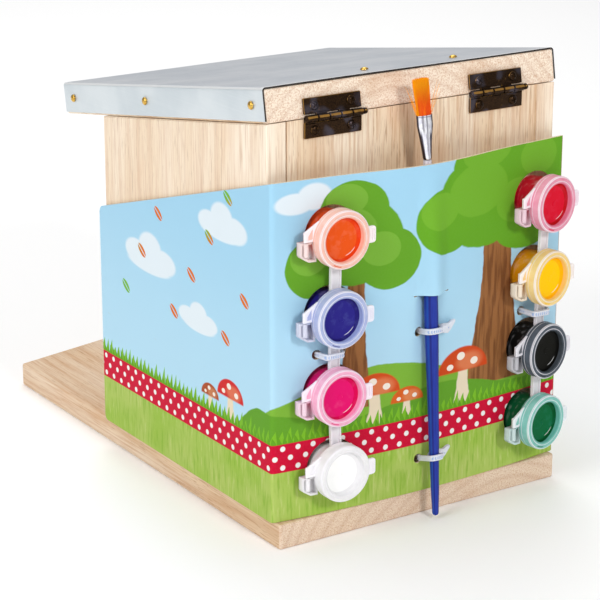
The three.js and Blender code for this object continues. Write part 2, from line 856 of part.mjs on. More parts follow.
function stripGroup(layout) {
  const group = new THREE.Group();
  group.position.copy(stripOrigin(layout));
  group.rotation.z = layout.turn;
  group.add(mesh(`pot_strip_${layout.name}`, stripGeometry(layout), clearPlastic));
  for (const { x, z, colour } of potPlaces(layout)) {
    const material = new THREE.MeshStandardMaterial({ color: paintColours[colour], roughness: 0.3, metalness: 0 });
    group.add(mesh(`paint_${colour}`, paintForm().translate(x, 0, z), material));
    group.add(mesh(`lid_${colour}`, lidGeometry().translate(x, 0, z), clearPlastic));
  }
  return group;
}

// ---------- Card sleeve

const cardFoot = baseTop + fit.seat;
const cardHalf = half(box.width) + card.sideGap + card.thickness;
const cardFront = -box.depth - card.frontOverlap;

const raisedCosine = (distance, reach) =>
  (Math.abs(distance) < reach ? half(1 + Math.cos(Math.PI * distance / reach)) : 0);

// How far the back panel stands out from the line of its folds, before the slit is opened.
function panelBulge(x, z) {
  const bow = card.bow * (1 - (x / cardHalf) ** 2);
  const below = Math.max(0, card.slitHeight - z);
  const ridge = card.ridge * raisedCosine(x - brushAcross, card.ridgeReach) * Math.exp(-below / card.ridgeFade);
  return bow + ridge;
}

// How far the handle pushes the slit's upper lip out, or its lower lip in, at a place.
function lipShift(x, z) {
  const across = raisedCosine(x - brushAcross, card.slitHalfLength);
  if (z > card.slitHeight) {
    return card.lipSpread * across * (card.backHeight - z) / (card.backHeight - card.slitHeight);
  }
  return -card.lipSpread * across * Math.exp((z - card.slitHeight) / card.lipFade);
}

// Distance of the panel's outer face from the back wall at a place.
const cardFace = (x, z) => card.foldStandoff + panelBulge(x, z) + lipShift(x, z);

// Places across the back panel, closer together over the slit than beside it.
function panelColumns(edge) {
  const slitStart = brushAcross - card.slitHalfLength;
  const slitEnd = brushAcross + card.slitHalfLength;
  const runs = [
    [-edge, slitStart, card.sideOfSlitColumns],
    [slitStart, slitEnd, card.slitColumns],
    [slitEnd, edge, card.sideOfSlitColumns],
  ];
  const inner = runs.flatMap(([from, to, count]) =>
    Array.from({ length: count }, (_, i) => THREE.MathUtils.lerp(from, to, i / count)));
  return [...inner, edge];
}

// Stations along the sleeve, seen from above, from the left side's front edge to the right side's.
function cardStations() {
  const stations = [];
  const straight = card.foldStandoff - card.foldRadius;
  const topAt = (y) => card.frontHeight
    + (card.backHeight - card.frontHeight) * (y - cardFront) / (card.foldStandoff - cardFront);
  const sideStation = (side, y, inset) => ({
    outer: at(side * cardHalf, y, 0),
    inner: at(side * (cardHalf - card.thickness), y, 0),
    foot: cardFoot + inset,
    top: topAt(y) - inset,
  });
  const sidePanel = (side) => {
    const panel = [sideStation(side, cardFront, card.cornerCut)];
    for (let i = 0; i <= card.sideColumns; i += 1) {
      const share = i / card.sideColumns;
      panel.push(sideStation(side, THREE.MathUtils.lerp(cardFront + card.cornerCut, straight, share), 0));
    }
    for (let i = 1; i < card.foldSteps; i += 1) {
      const turn = half(Math.PI) * i / card.foldSteps;
      const towards = at(side * Math.cos(turn), Math.sin(turn), 0);
      const centre = at(side * (cardHalf - card.foldRadius), straight, 0);
      const y = centre.y + card.foldRadius * towards.y;
      panel.push({
        outer: centre.clone().addScaledVector(towards, card.foldRadius),
        inner: centre.clone().addScaledVector(towards, card.foldRadius - card.thickness),
        foot: cardFoot,
        top: topAt(y),
      });
    }
    return panel;
  };
  stations.push(...sidePanel(-1));
  for (const x of panelColumns(cardHalf - card.foldRadius)) {
    stations.push({
      outer: at(x, card.foldStandoff, 0),
      inner: at(x, card.foldStandoff - card.thickness, 0),
      foot: cardFoot,
      top: card.backHeight,
      panel: true,
    });
  }
  stations.push(...sidePanel(1).reverse());
  return stations;
}

// The bent sheet as one closed mesh: a grid on its outer face, one on its inner face, and the rims.
function bentCard() {
  const stations = cardStations();
  const columns = stations.length;
  const rows = card.rows + 1;
  const positions = [];
  for (const face of ['outer', 'inner']) {
    for (const station of stations) {
      for (let j = 0; j < rows; j += 1) {
        const z = THREE.MathUtils.lerp(station.foot, station.top, j / card.rows);
        const bulge = station.panel ? panelBulge(station.outer.x, z) : 0;
        positions.push(station[face].x, station[face].y + bulge, z);
      }
    }
  }
  const vertex = (face, i, j) => face * columns * rows + i * rows + j;
  const triangles = [];
  const quad = (a, b, c, d) => triangles.push(a, b, c, a, c, d);
  for (let i = 0; i + 1 < columns; i += 1) {
    for (let j = 0; j < card.rows; j += 1) {
      quad(vertex(0, i, j), vertex(0, i, j + 1), vertex(0, i + 1, j + 1), vertex(0, i + 1, j));
      quad(vertex(1, i, j), vertex(1, i + 1, j), vertex(1, i + 1, j + 1), vertex(1, i, j + 1));
    }
    quad(vertex(0, i, 0), vertex(0, i + 1, 0), vertex(1, i + 1, 0), vertex(1, i, 0));
    quad(vertex(0, i, card.rows), vertex(1, i, card.rows), vertex(1, i + 1, card.rows), vertex(0, i + 1, card.rows));
  }
  for (let j = 0; j < card.rows; j += 1) {
    quad(vertex(0, 0, j), vertex(1, 0, j), vertex(1, 0, j + 1), vertex(0, 0, j + 1));
    const last = columns - 1;
    quad(vertex(0, last, j), vertex(0, last, j + 1), vertex(1, last, j + 1), vertex(1, last, j));
  }
  const geometry = new THREE.BufferGeometry();
  geometry.setAttribute('position', new THREE.Float32BufferAttribute(positions, 3));
  geometry.setIndex(triangles);
  return geometry;
}

// A hole for each pot: where the pot's axis meets the card, and a little above it.
function potHolePlaces() {
  return [rightStrip, leftStrip].flatMap((layout) => potPlaces(layout).map(({ x, z }) => {
    const centre = at(x, 0, z).applyAxisAngle(AXIS_Z, layout.turn).add(stripOrigin(layout));
    const behind = centre.y - card.foldStandoff - panelBulge(centre.x, centre.z);
    return { x: centre.x + behind * Math.tan(layout.turn), z: centre.z + card.potHoleRise };
  }));
}

function sleeveCutters() {
  const depthBehind = card.foldStandoff - card.thickness;
  const reach = card.foldStandoff + card.bow + card.ridge + card.lipSpread + fit.overrun;
  const cutters = potHolePlaces().map(({ x, z }) =>
    bar(card.potHoleRadius, half(depthBehind), reach, card.holeSides).translate(x, 0, z));
  for (const place of tiePlaces()) {
    for (const x of [place.low, place.high]) {
      cutters.push(bar(card.tieHoleRadius, half(depthBehind), reach, 8).translate(x, 0, place.z));
    }
  }
  cutters.push(block(
    at(brushAcross - card.slitHalfLength, half(depthBehind), card.slitHeight - half(card.slitOpening)),
    at(brushAcross + card.slitHalfLength, reach, card.slitHeight + half(card.slitOpening)),
  ));
  return cutters;
}

function cardSleeve() {
  const geometry = cut(bentCard(), sleeveCutters());
  const place = geometry.getAttribute('position');
  for (let i = 0; i < place.count; i += 1) {
    if (place.getY(i) > half(card.foldStandoff)) {
      place.setY(i, place.getY(i) + lipShift(place.getX(i), place.getZ(i)));
    }
  }
  geometry.computeVertexNormals();
  return mesh('card_sleeve', geometry, printedCard);
}

// ---------- Brush. Its parts are turned about an axis that leans back with the brush.

// Distance of the brush's axis from the back wall, and its place across the box, at a height.
const brushStandoff = (z) => brush.standoffAtSlit + (card.slitHeight - z) * Math.tan(brush.tilt);
const brushMiddle = (z) => brushAcross + (z - card.slitHeight) * Math.tan(brush.sideLean);

const handleStations = [
  [brush.tipHeight, brush.tipRadius],
  [brush.lowHeight, brush.lowRadius],
  [brush.middleHeight, brush.middleRadius],
  [brush.bellyHeight, brush.bellyRadius],
  [brush.neckHeight, brush.neckRadius],
  [brush.handleTopHeight, brush.ferruleTailRadius],
];

// Radius of the handle at a height, eased between its stations.
function handleRadius(z) {
  const next = handleStations.findIndex(([height]) => height >= z);
  if (next <= 0) return handleStations[next < 0 ? handleStations.length - 1 : 0][1];
  const [lowZ, lowR] = handleStations[next - 1];
  const [highZ, highR] = handleStations[next];
  return THREE.MathUtils.lerp(lowR, highR, THREE.MathUtils.smoothstep(z, lowZ, highZ));
}

// Leans a form that stands on the Z axis and puts it on the brush's axis.
function onBrushAxis(geometry) {
  geometry.translate(0, 0, -card.slitHeight);
  geometry.rotateX(brush.tilt);
  geometry.rotateY(brush.sideLean);
  return geometry.translate(brushAcross, brush.standoffAtSlit, card.slitHeight);
}

function brushHandle() {
  const profile = [[0, brush.tipHeight - half(brush.tipRadius)]];
  for (let i = 0; i <= brush.handleSteps; i += 1) {
    const z = THREE.MathUtils.lerp(brush.tipHeight, brush.handleTopHeight - fit.seat, i / brush.handleSteps);
    profile.push([handleRadius(z), z]);
  }
  const tang = brush.ferruleTailRadius - brush.ferruleWall - fit.seat;
  profile.push([tang, brush.handleTopHeight - fit.seat]);
  profile.push([tang, brush.handleTopHeight + brush.tangLength]);
  profile.push([0, brush.handleTopHeight + brush.tangLength]);
  return mesh('brush_handle', onBrushAxis(turned(profile, brush.sides).rotateX(half(Math.PI))), handlePaint);
}

// Half width and half thickness of the ferrule at a share of its length, from tail to mouth.
function ferruleHalves(share, length) {
  const flatFrom = 1 - brush.ferruleFlatLength / length;
  const opened = THREE.MathUtils.smoothstep(share, 0, flatFrom);
  const fromMouth = (1 - share) * length;
  const pinch = [1, 2].some((n) => Math.abs(fromMouth - n * brush.grooveSpacing) < brush.grooveDepth)
    ? brush.grooveDepth : 0;
  return {
    wide: THREE.MathUtils.lerp(brush.ferruleTailRadius, half(brush.ferruleMouthWidth), opened) - pinch,
    thick: THREE.MathUtils.lerp(brush.ferruleTailRadius, half(brush.ferruleMouthThickness), opened) - pinch,
  };
}

// A tube of oval rings, each ring given by its height and half sizes, closed from ring to ring.
function ringedForm(rings, sides) {
  const positions = [];
  const triangles = [];
  for (const { z, wide, thick } of rings) {
    for (let k = 0; k < sides; k += 1) {
      const turn = 2 * Math.PI * k / sides;
      positions.push(wide * Math.cos(turn), thick * Math.sin(turn), z);
    }
  }
  for (let i = 0; i < rings.length; i += 1) {
    const j = (i + 1) % rings.length;
    for (let k = 0; k < sides; k += 1) {
      const m = (k + 1) % sides;
      triangles.push(i * sides + k, i * sides + m, j * sides + m);
      triangles.push(i * sides + k, j * sides + m, j * sides + k);
    }
  }
  const geometry = new THREE.BufferGeometry();
  geometry.setAttribute('position', new THREE.Float32BufferAttribute(positions, 3));
  geometry.setIndex(triangles);
  return geometry;
}

function brushFerrule() {
  const length = brush.ferruleTopHeight - brush.handleTopHeight;
  const shares = [0, 0.15, 0.3, 0.45, 0.6, 0.72];
  const grooves = [2, 1].flatMap((n) => [-1.2, 0, 1.2].map((side) =>
    1 - (n * brush.grooveSpacing + side * brush.grooveDepth) / length));
  const outside = [...shares, ...grooves, 1].map((share) => ({
    z: brush.handleTopHeight + share * length,
    ...ferruleHalves(share, length),
  }));
  const inside = [1, 0.72, 0.45, 0.2, 0].map((share) => {
    const halves = ferruleHalves(share, length);
    return {
      z: brush.handleTopHeight + share * length,
      wide: halves.wide - brush.ferruleWall,
      thick: halves.thick - brush.ferruleWall,
    };
  });
  return mesh('brush_ferrule', onBrushAxis(ringedForm([...outside, ...inside], brush.sides)), steel);
}

// Feet of the strands: staggered rows over an oval of the given half sizes.
function strandFeet(wide, thick) {
  const feet = [];
  const rowPitch = bristles.spacing * Math.sin(Math.PI / 3);
  const rows = Math.floor(thick / rowPitch);
  const columns = Math.ceil(wide / bristles.spacing);
  for (let j = -rows; j <= rows; j += 1) {
    for (let i = -columns; i <= columns; i += 1) {
      const x = (i + (j % 2 ? half(1) : 0)) * bristles.spacing;
      const y = j * rowPitch;
      const out = Math.hypot(x / wide, y / thick);
      if (out <= 1) feet.push({ x, y, out });
    }
  }
  return feet;
}

// A tuft of thin three-sided spikes that grow from an oval slice.
function brushBristles() {
  const wide = half(brush.ferruleMouthWidth) - brush.ferruleWall - fit.seat;
  const thick = half(brush.ferruleMouthThickness) - brush.ferruleWall - fit.seat;
  const foot = brush.ferruleTopHeight;
  const length = brush.bristleTopHeight - foot;
  const slice = turned([
    [0, foot - bristles.backing],
    [1, foot - bristles.backing],
    [1, foot],
    [0, foot],
  ], brush.sides).rotateX(half(Math.PI)).scale(wide, thick, 1);
  const inset = bristles.strandRadius * 2;
  const positions = [];
  const triangles = [];
  for (const { x, y, out } of strandFeet(wide - inset, thick - inset)) {
    const first = positions.length / 3;
    const tipHeight = foot + length * (1 - bristles.domeShare * out ** 2);
    for (let k = 0; k < 3; k += 1) {
      const turn = 2 * Math.PI * k / 3;
      positions.push(
        x + bristles.strandRadius * Math.cos(turn),
        y + bristles.strandRadius * Math.sin(turn),
        foot - bristles.sink,
      );
    }
    positions.push(x * bristles.spreadShare + bristles.tipShift, y * bristles.spreadShare, tipHeight);
    triangles.push(first, first + 2, first + 1);
    for (let k = 0; k < 3; k += 1) triangles.push(first + k, first + (k + 1) % 3, first + 3);
  }
  const strands = new THREE.BufferGeometry();
  strands.setAttribute('position', new THREE.Float32BufferAttribute(positions, 3));
  strands.setIndex(triangles);
  return mesh('brush_bristles', onBrushAxis(join([slice, strands])), hair);
}

// ---------- Cable ties

// Each tie's band runs round what it holds, through two holes in the card.
function tiePlaces() {
  const places = [];
  for (const [name, z] of Object.entries(tieHeights)) {
    const reach = handleRadius(z) + tie.clearance + half(tie.bandThickness);
    places.push({
      name: `brush_tie_${name}`,
      z,
      low: brushMiddle(z) - reach,
      high: brushMiddle(z) + reach,
      front: brushStandoff(z) + reach,
      frontRadius: tie.brushFrontShare * reach,
      headInFront: true,
    });
  }
  for (const layout of [rightStrip, leftStrip]) {
    const pots = potPlaces(layout);
    const origin = stripOrigin(layout);
    const middle = at(half(pots[1].x + pots[2].x), -strip.connectorDrop, 0).applyAxisAngle(AXIS_Z, layout.turn);
    const lean = half(strip.connectorWidth) * Math.sin(layout.turn);
    places.push({
      name: `strip_tie_${layout.name}`,
      z: origin.z + half(pots[1].z + pots[2].z),
      low: origin.x + middle.x - tie.stripReach,
      high: origin.x + middle.x + tie.stripReach,
      front: origin.y + middle.y + lean + tie.clearance + half(tie.bandThickness),
      frontRadius: tie.stripFrontRadius,
      headInFront: false,
    });
  }
  return places;
}

// A closed band on the XY plane round a rectangle, its middle line on the rectangle's sides.
function bandOutline(place, back) {
  const ring = (grow) => [
    { x: place.low - grow, y: back - grow, r: tie.cornerRadius + grow },
    { x: place.high + grow, y: back - grow, r: tie.cornerRadius + grow },
    { x: place.high + grow, y: place.front + grow, r: place.frontRadius + grow },
    { x: place.low - grow, y: place.front + grow, r: place.frontRadius + grow },
  ];
  const outline = roundedOutline(ring(half(tie.bandThickness)));
  outline.holes.push(roundedOutline(ring(-half(tie.bandThickness)).reverse()));
  return outline;
}

// Least and greatest standoff of the card's outer face over a small field of the back panel.
function cardFaceRange(lowX, highX, z, height) {
  const heights = [-1, 0, 1].map((side) => z + side * half(height));
  const faces = [lowX, half(lowX + highX), highX].flatMap((x) => heights.map((level) => cardFace(x, level)));
  return { nearest: Math.min(...faces), farthest: Math.max(...faces) };
}

function cableTie(place) {
  const cardBack = cardFaceRange(place.low, place.high, place.z, tie.headHeight).nearest - card.thickness;
  const back = cardBack - tie.clearance - half(tie.bandThickness);
  const band = extrude(bandOutline(place, back), tie.bandWidth, 0, 4)
    .translate(0, 0, place.z - half(tie.bandWidth));
  const thick = half(tie.bandThickness);
  const headEdges = [place.low - thick - tie.headWidth + tie.bandThickness, place.low + thick];
  const faceHere = cardFaceRange(headEdges[0], headEdges[1], place.z, tie.headHeight).farthest;
  const headLow = place.headInFront
    ? at(headEdges[0], faceHere + tie.clearance, 0)
    : at(half(place.low + place.high) - half(tie.headWidth), back + thick - tie.headDepth, 0);
  const headHigh = place.headInFront
    ? at(headEdges[1], headLow.y + tie.headDepth, 0)
    : at(headLow.x + tie.headWidth, back + thick, 0);
  headLow.z = place.z - half(tie.headHeight);
  headHigh.z = place.z + half(tie.headHeight);
  return mesh(place.name, join([band, block(headLow, headHigh)]), nylon);
}

// ---------- Assembly

const feeder = new THREE.Group();
feeder.name = 'squirrel_feeder';
feeder.add(
  baseBoard(),
  backWall(),
  sideWall('side_wall_right', 1),
  sideWall('side_wall_left', -1),
  windowPane(),
  ...baseScrews(),
  roofGroup(),
  ...hingePieces(-1),
  ...hingePins(),
  cardSleeve(),
  stripGroup(rightStrip),
  stripGroup(leftStrip),
  ...tiePlaces().map((place) => cableTie(place)),
  brushHandle(),
  brushFerrule(),
  brushBristles(),
);

// The origin goes under the middle of the whole part, on the ground.
feeder.updateMatrixWorld(true);
const extent = new THREE.Box3().setFromObject(feeder, true);
const middle = extent.getCenter(new THREE.Vector3());
feeder.position.set(-middle.x, -middle.y, -extent.min.z);

export default feeder;
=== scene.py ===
"""A wooden squirrel feeder with its craft kit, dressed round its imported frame.

The feeder faces -Y and is seen from behind. Shapes are drawn in millimetres in a construction frame whose
origin lies on the ground at the foot of the back wall's outer face, and are then moved into the row frame.
"""

from __future__ import annotations

import json
import logging
import math
from dataclasses import dataclass
from enum import Enum
from functools import cached_property, reduce
from typing import Callable, Sequence

import bmesh
import bpy
import numpy as np
from mathutils import Matrix, Vector

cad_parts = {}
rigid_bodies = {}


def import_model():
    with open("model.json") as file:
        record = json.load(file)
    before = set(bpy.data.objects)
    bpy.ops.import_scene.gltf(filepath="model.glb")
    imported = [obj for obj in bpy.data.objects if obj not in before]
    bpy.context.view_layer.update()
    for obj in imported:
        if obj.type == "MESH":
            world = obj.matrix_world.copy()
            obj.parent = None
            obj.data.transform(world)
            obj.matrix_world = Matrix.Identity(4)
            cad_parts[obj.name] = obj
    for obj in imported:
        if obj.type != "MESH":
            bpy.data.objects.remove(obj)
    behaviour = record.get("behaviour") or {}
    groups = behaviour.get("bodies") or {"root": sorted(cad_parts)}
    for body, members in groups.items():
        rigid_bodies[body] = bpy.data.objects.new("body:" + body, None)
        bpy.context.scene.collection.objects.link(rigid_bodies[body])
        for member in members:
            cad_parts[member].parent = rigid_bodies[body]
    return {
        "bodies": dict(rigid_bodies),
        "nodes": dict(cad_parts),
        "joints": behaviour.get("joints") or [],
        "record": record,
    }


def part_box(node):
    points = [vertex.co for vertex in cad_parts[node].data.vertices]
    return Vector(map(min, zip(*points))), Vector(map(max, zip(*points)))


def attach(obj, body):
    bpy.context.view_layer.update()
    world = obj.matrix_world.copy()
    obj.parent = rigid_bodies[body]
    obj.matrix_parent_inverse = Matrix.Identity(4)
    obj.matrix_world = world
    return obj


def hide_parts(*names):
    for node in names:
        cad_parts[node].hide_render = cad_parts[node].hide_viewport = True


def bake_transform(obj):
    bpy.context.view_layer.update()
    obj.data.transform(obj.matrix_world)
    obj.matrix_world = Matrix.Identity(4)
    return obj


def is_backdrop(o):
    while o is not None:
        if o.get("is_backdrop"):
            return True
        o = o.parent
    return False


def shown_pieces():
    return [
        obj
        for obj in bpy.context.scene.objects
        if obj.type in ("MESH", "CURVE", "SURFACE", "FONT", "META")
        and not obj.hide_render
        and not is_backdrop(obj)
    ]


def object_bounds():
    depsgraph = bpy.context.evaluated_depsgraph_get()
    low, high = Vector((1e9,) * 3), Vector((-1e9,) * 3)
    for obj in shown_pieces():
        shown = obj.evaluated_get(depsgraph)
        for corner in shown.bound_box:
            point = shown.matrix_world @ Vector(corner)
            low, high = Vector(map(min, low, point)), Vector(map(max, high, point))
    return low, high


LOG = logging.getLogger("feeder")
MM = 0.001
CHART_MM = 100.0  # one unit of a chart's UV map
Material = bpy.types.Material
Object = bpy.types.Object
Array = np.ndarray
Reals = Array | float
Colour = tuple[float, float, float, float]
Point = tuple[float, float]
Oval = tuple[float, float, float, float]
Rule = Callable[[Array, Array], Array]
TO_Z = Matrix.Rotation(math.pi / 2, 4, "X")  # stands a form that was turned about Y on the Z axis
TO_X = Matrix.Rotation(-math.pi / 2, 4, "Z")  # and this one lays it along X
STANDING = Matrix(((1, 0, 0, 0), (0, 0, -1, 0), (0, 1, 0, 0), (0, 0, 0, 1)))
SWAPPED = Matrix(((1, 0, 0, 0), (0, 0, 1, 0), (0, 1, 0, 0), (0, 0, 0, 1)))


@dataclass(frozen=True)
class RoofSize:
    """Sizes of the roof, in millimetres, along its slope."""

    pitch: float = math.radians(9.65)
    seam: float = 162.4
    length: float = 156.5
    half_width: float = 65.6
    thickness: float = 12.2
    sheet: float = 0.6
    gap: float = 0.2
    flange: float = 11.4
    bend: float = 1.3
    nail_drop: float = 5.6
    nail_insets: tuple[float, ...] = (8.5, 87.5, 148.5)
    top_inset: float = 15.0
    top_places: tuple[float, ...] = (11.94, -29.39)

    @property
    def outer(self) -> float:
        """Half the width over the folded sheet."""
        return self.half_width + self.gap + self.sheet

    @property
    def top(self) -> float:
        """Height of the sheet's upper face over the board's underside."""
        return self.thickness + self.gap + self.sheet

    def matrix(self) -> Matrix:
        """Carries the roof's own frame to the construction frame."""
        return Matrix.Translation((0, 0, self.seam)) @ Matrix.Rotation(self.pitch, 4, "X")


@dataclass(frozen=True)
class CardSize:
    """Sizes of the bent card sleeve, in millimetres."""

    half: float = 67.6
    thickness: float = 1.0
    fold: float = 5.0
    fold_radius: float = 1.3
    foot: float = 10.3
    top: float = 141.6
    front: float = -125.6
    front_top: float = 103.2
    corner: float = 2.2
    bow: float = 4.5
    ridge: float = 4.2
    reach: float = 45.0
    fade: float = 25.0
    slit: float = 91.5
    slit_half: float = 8.0
    slit_gap: float = 0.5
    lip: float = 4.0
    lip_fade: float = 15.0
    hole: float = 10.6
    hole_rise: float = 0.6
    tie_hole: float = 1.9

    @property
    def flat(self) -> float:
        """Half the width of the back panel between its folds."""
        return self.half - self.fold_radius

    @property
    def straight(self) -> float:
        """Where the sides end and the folds begin."""
        return self.fold - self.fold_radius


@dataclass(frozen=True)
class LidSize:
    """Sizes of a lid and its pot, in millimetres along and across the pot's axis."""

    radius: float = 11.1
    lap: float = 2.6
    crown: float = 2.6
    reach: float = 2.6
    knuckle: float = 0.9
    strap: float = 7.4
    strap_reach: float = 1.3
    border: float = 1.05
    lug: float = 7.8
    lug_top: float = -0.2
    lug_reach: float = 2.1
    tab_reach: float = 3.3
    tab_top: float = 3.9
    tab_width: float = 6.4
    pot_depth: float = 12.4
    pot_wall: float = 0.8
    pot_radii: Point = (8.5, 9.7)

    @property
    def hinge(self) -> float:
        """How far the hinge stands from the pot's axis."""
        return self.radius + self.reach

    @property
    def foot(self) -> float:
        """Height of the pot's foot."""
        return self.lap - self.pot_depth

    def bore(self, height: float) -> float:
        """Radius of the pot's inner wall at a height."""
        low, high = self.pot_radii
        return low + (high - low) * ((height - self.foot) / self.pot_depth) - self.pot_wall


@dataclass(frozen=True)
class BrushSize:
    """Sizes of the paintbrush, in millimetres."""

    across: float = 1.4124
    standoff: float = 12.95
    tilt: float = math.atan(0.038)
    side_lean: float = math.atan(0.02)
    tip: float = 2.2
    neck: float = 136.0
    neck_ease: float = 4.0
    handle_top: float = 143.2
    ferrule_top: float = 160.0
    bristle_top: float = 174.0
    mouth_width: float = 6.9
    mouth_thickness: float = 3.6
    flat: float = 4.2
    ferrule_tail: float = 1.65
    ferrule_wall: float = 0.3
    tail_shift: float = 0.3
    mouth_shift: float = 1.27
    spread: float = 0.2
    tip_shift: float = 1.35
    stations: tuple[Point, ...] = ((2.2, 1.3), (14.0, 1.65), (38.0, 2.1), (84.0, 2.7), (134.0, 1.75), (143.2, 1.6))

    @property
    def ferrule(self) -> float:
        """Length of the ferrule."""
        return self.ferrule_top - self.handle_top

    @property
    def tuft(self) -> float:
        """Length of the hair outside the ferrule."""
        return self.bristle_top - self.ferrule_top

    def middle(self, z: float, slit: float) -> Point:
        """Where the brush's axis passes a height: its place across the box and behind the back wall."""
        rise = z - slit
        return self.across + rise * math.tan(self.side_lean), self.standoff - rise * math.tan(self.tilt)

    def matrix(self, slit: float) -> Matrix:
        """Leans a form that stands on the Z axis onto the brush's axis."""
        lean = Matrix.Rotation(self.side_lean, 4, "Y") @ Matrix.Rotation(self.tilt, 4, "X")
        return Matrix.Translation((self.across, self.standoff, slit)) @ lean @ Matrix.Translation((0, 0, -slit))


ROOF, CARD, LID, BRUSH = RoofSize(), CardSize(), LidSize(), BrushSize()


# ---- shader maths


def srgb(code: str) -> Colour:
    """Turns six hexadecimal digits after a hash into linear red, green, blue and alpha.

    Args:
        code: the digits, such as #FFFFFF.

    Returns:
        The colour as Blender takes it.
    """
    values = [int(code[i : i + 2], 16) / 255 for i in (1, 3, 5)]
    red, green, blue = (v / 12.92 if v <= 0.04045 else ((v + 0.055) / 1.055) ** 2.4 for v in values)
    return (red, green, blue, 1.0)


class Val:
    """A shader socket that takes part in arithmetic."""

    def __init__(self, graph: Graph, socket: bpy.types.NodeSocket) -> None:
        """Keeps the socket and the graph that it belongs to."""
        self.graph, self.socket = graph, socket

    def do(self, operation: str, *others: Number) -> Val:
        """This value and others under a Math node's operation."""
        return self.graph.math(operation, self, *others)

    def __add__(self, other: Number) -> Val:
        """The sum."""
        return self.do("ADD", other)

    __radd__ = __add__

    def __sub__(self, other: Number) -> Val:
        """The difference."""
        return self.do("SUBTRACT", other)

    def __rsub__(self, other: Number) -> Val:
        """The difference from a number."""
        return self.graph.math("SUBTRACT", other, self)

    def __mul__(self, other: Number) -> Val:
        """The product."""
        return self.do("MULTIPLY", other)

    __rmul__ = __mul__

    def __truediv__(self, other: Number) -> Val:
        """The quotient."""
        return self.do("DIVIDE", other)

    def __pow__(self, other: Number) -> Val:
        """The power."""
        return self.do("POWER", other)

    def above(self, other: Number) -> Val:
        """The greater of this value and another."""
        return self.do("MAXIMUM", other)

    def size(self) -> Val:
        """This value without its sign."""
        return self.do("ABSOLUTE")

    def hypot(self, other: Val) -> Val:
        """The length of the vector of this value and another."""
        return (self * self + other * other).do("SQRT")

    def ramp(self, start: float, end: float) -> Val:
        """Goes smoothly from 0 at start to 1 at end; start may be the greater one."""
        ends = {"Value": self, "From Min": start, "From Max": end}
        return self.graph.node("MapRange", {"interpolation_type": "SMOOTHSTEP"}, ends)

    def stripe(self, low: float, high: float, soft: float) -> Val:
        """A mask that is 1 between two values."""
        return self.ramp(low - soft, low + soft) * self.ramp(high + soft, high - soft)

    def wrapped(self, period: float) -> Val:
        """This value brought to within half a period of zero."""
        return self.do("WRAP", period / 2, -period / 2)


Number = Val | float
Tint = Val | Colour | str
Coat = tuple[Number, Tint]
Sockets = dict[str, object]


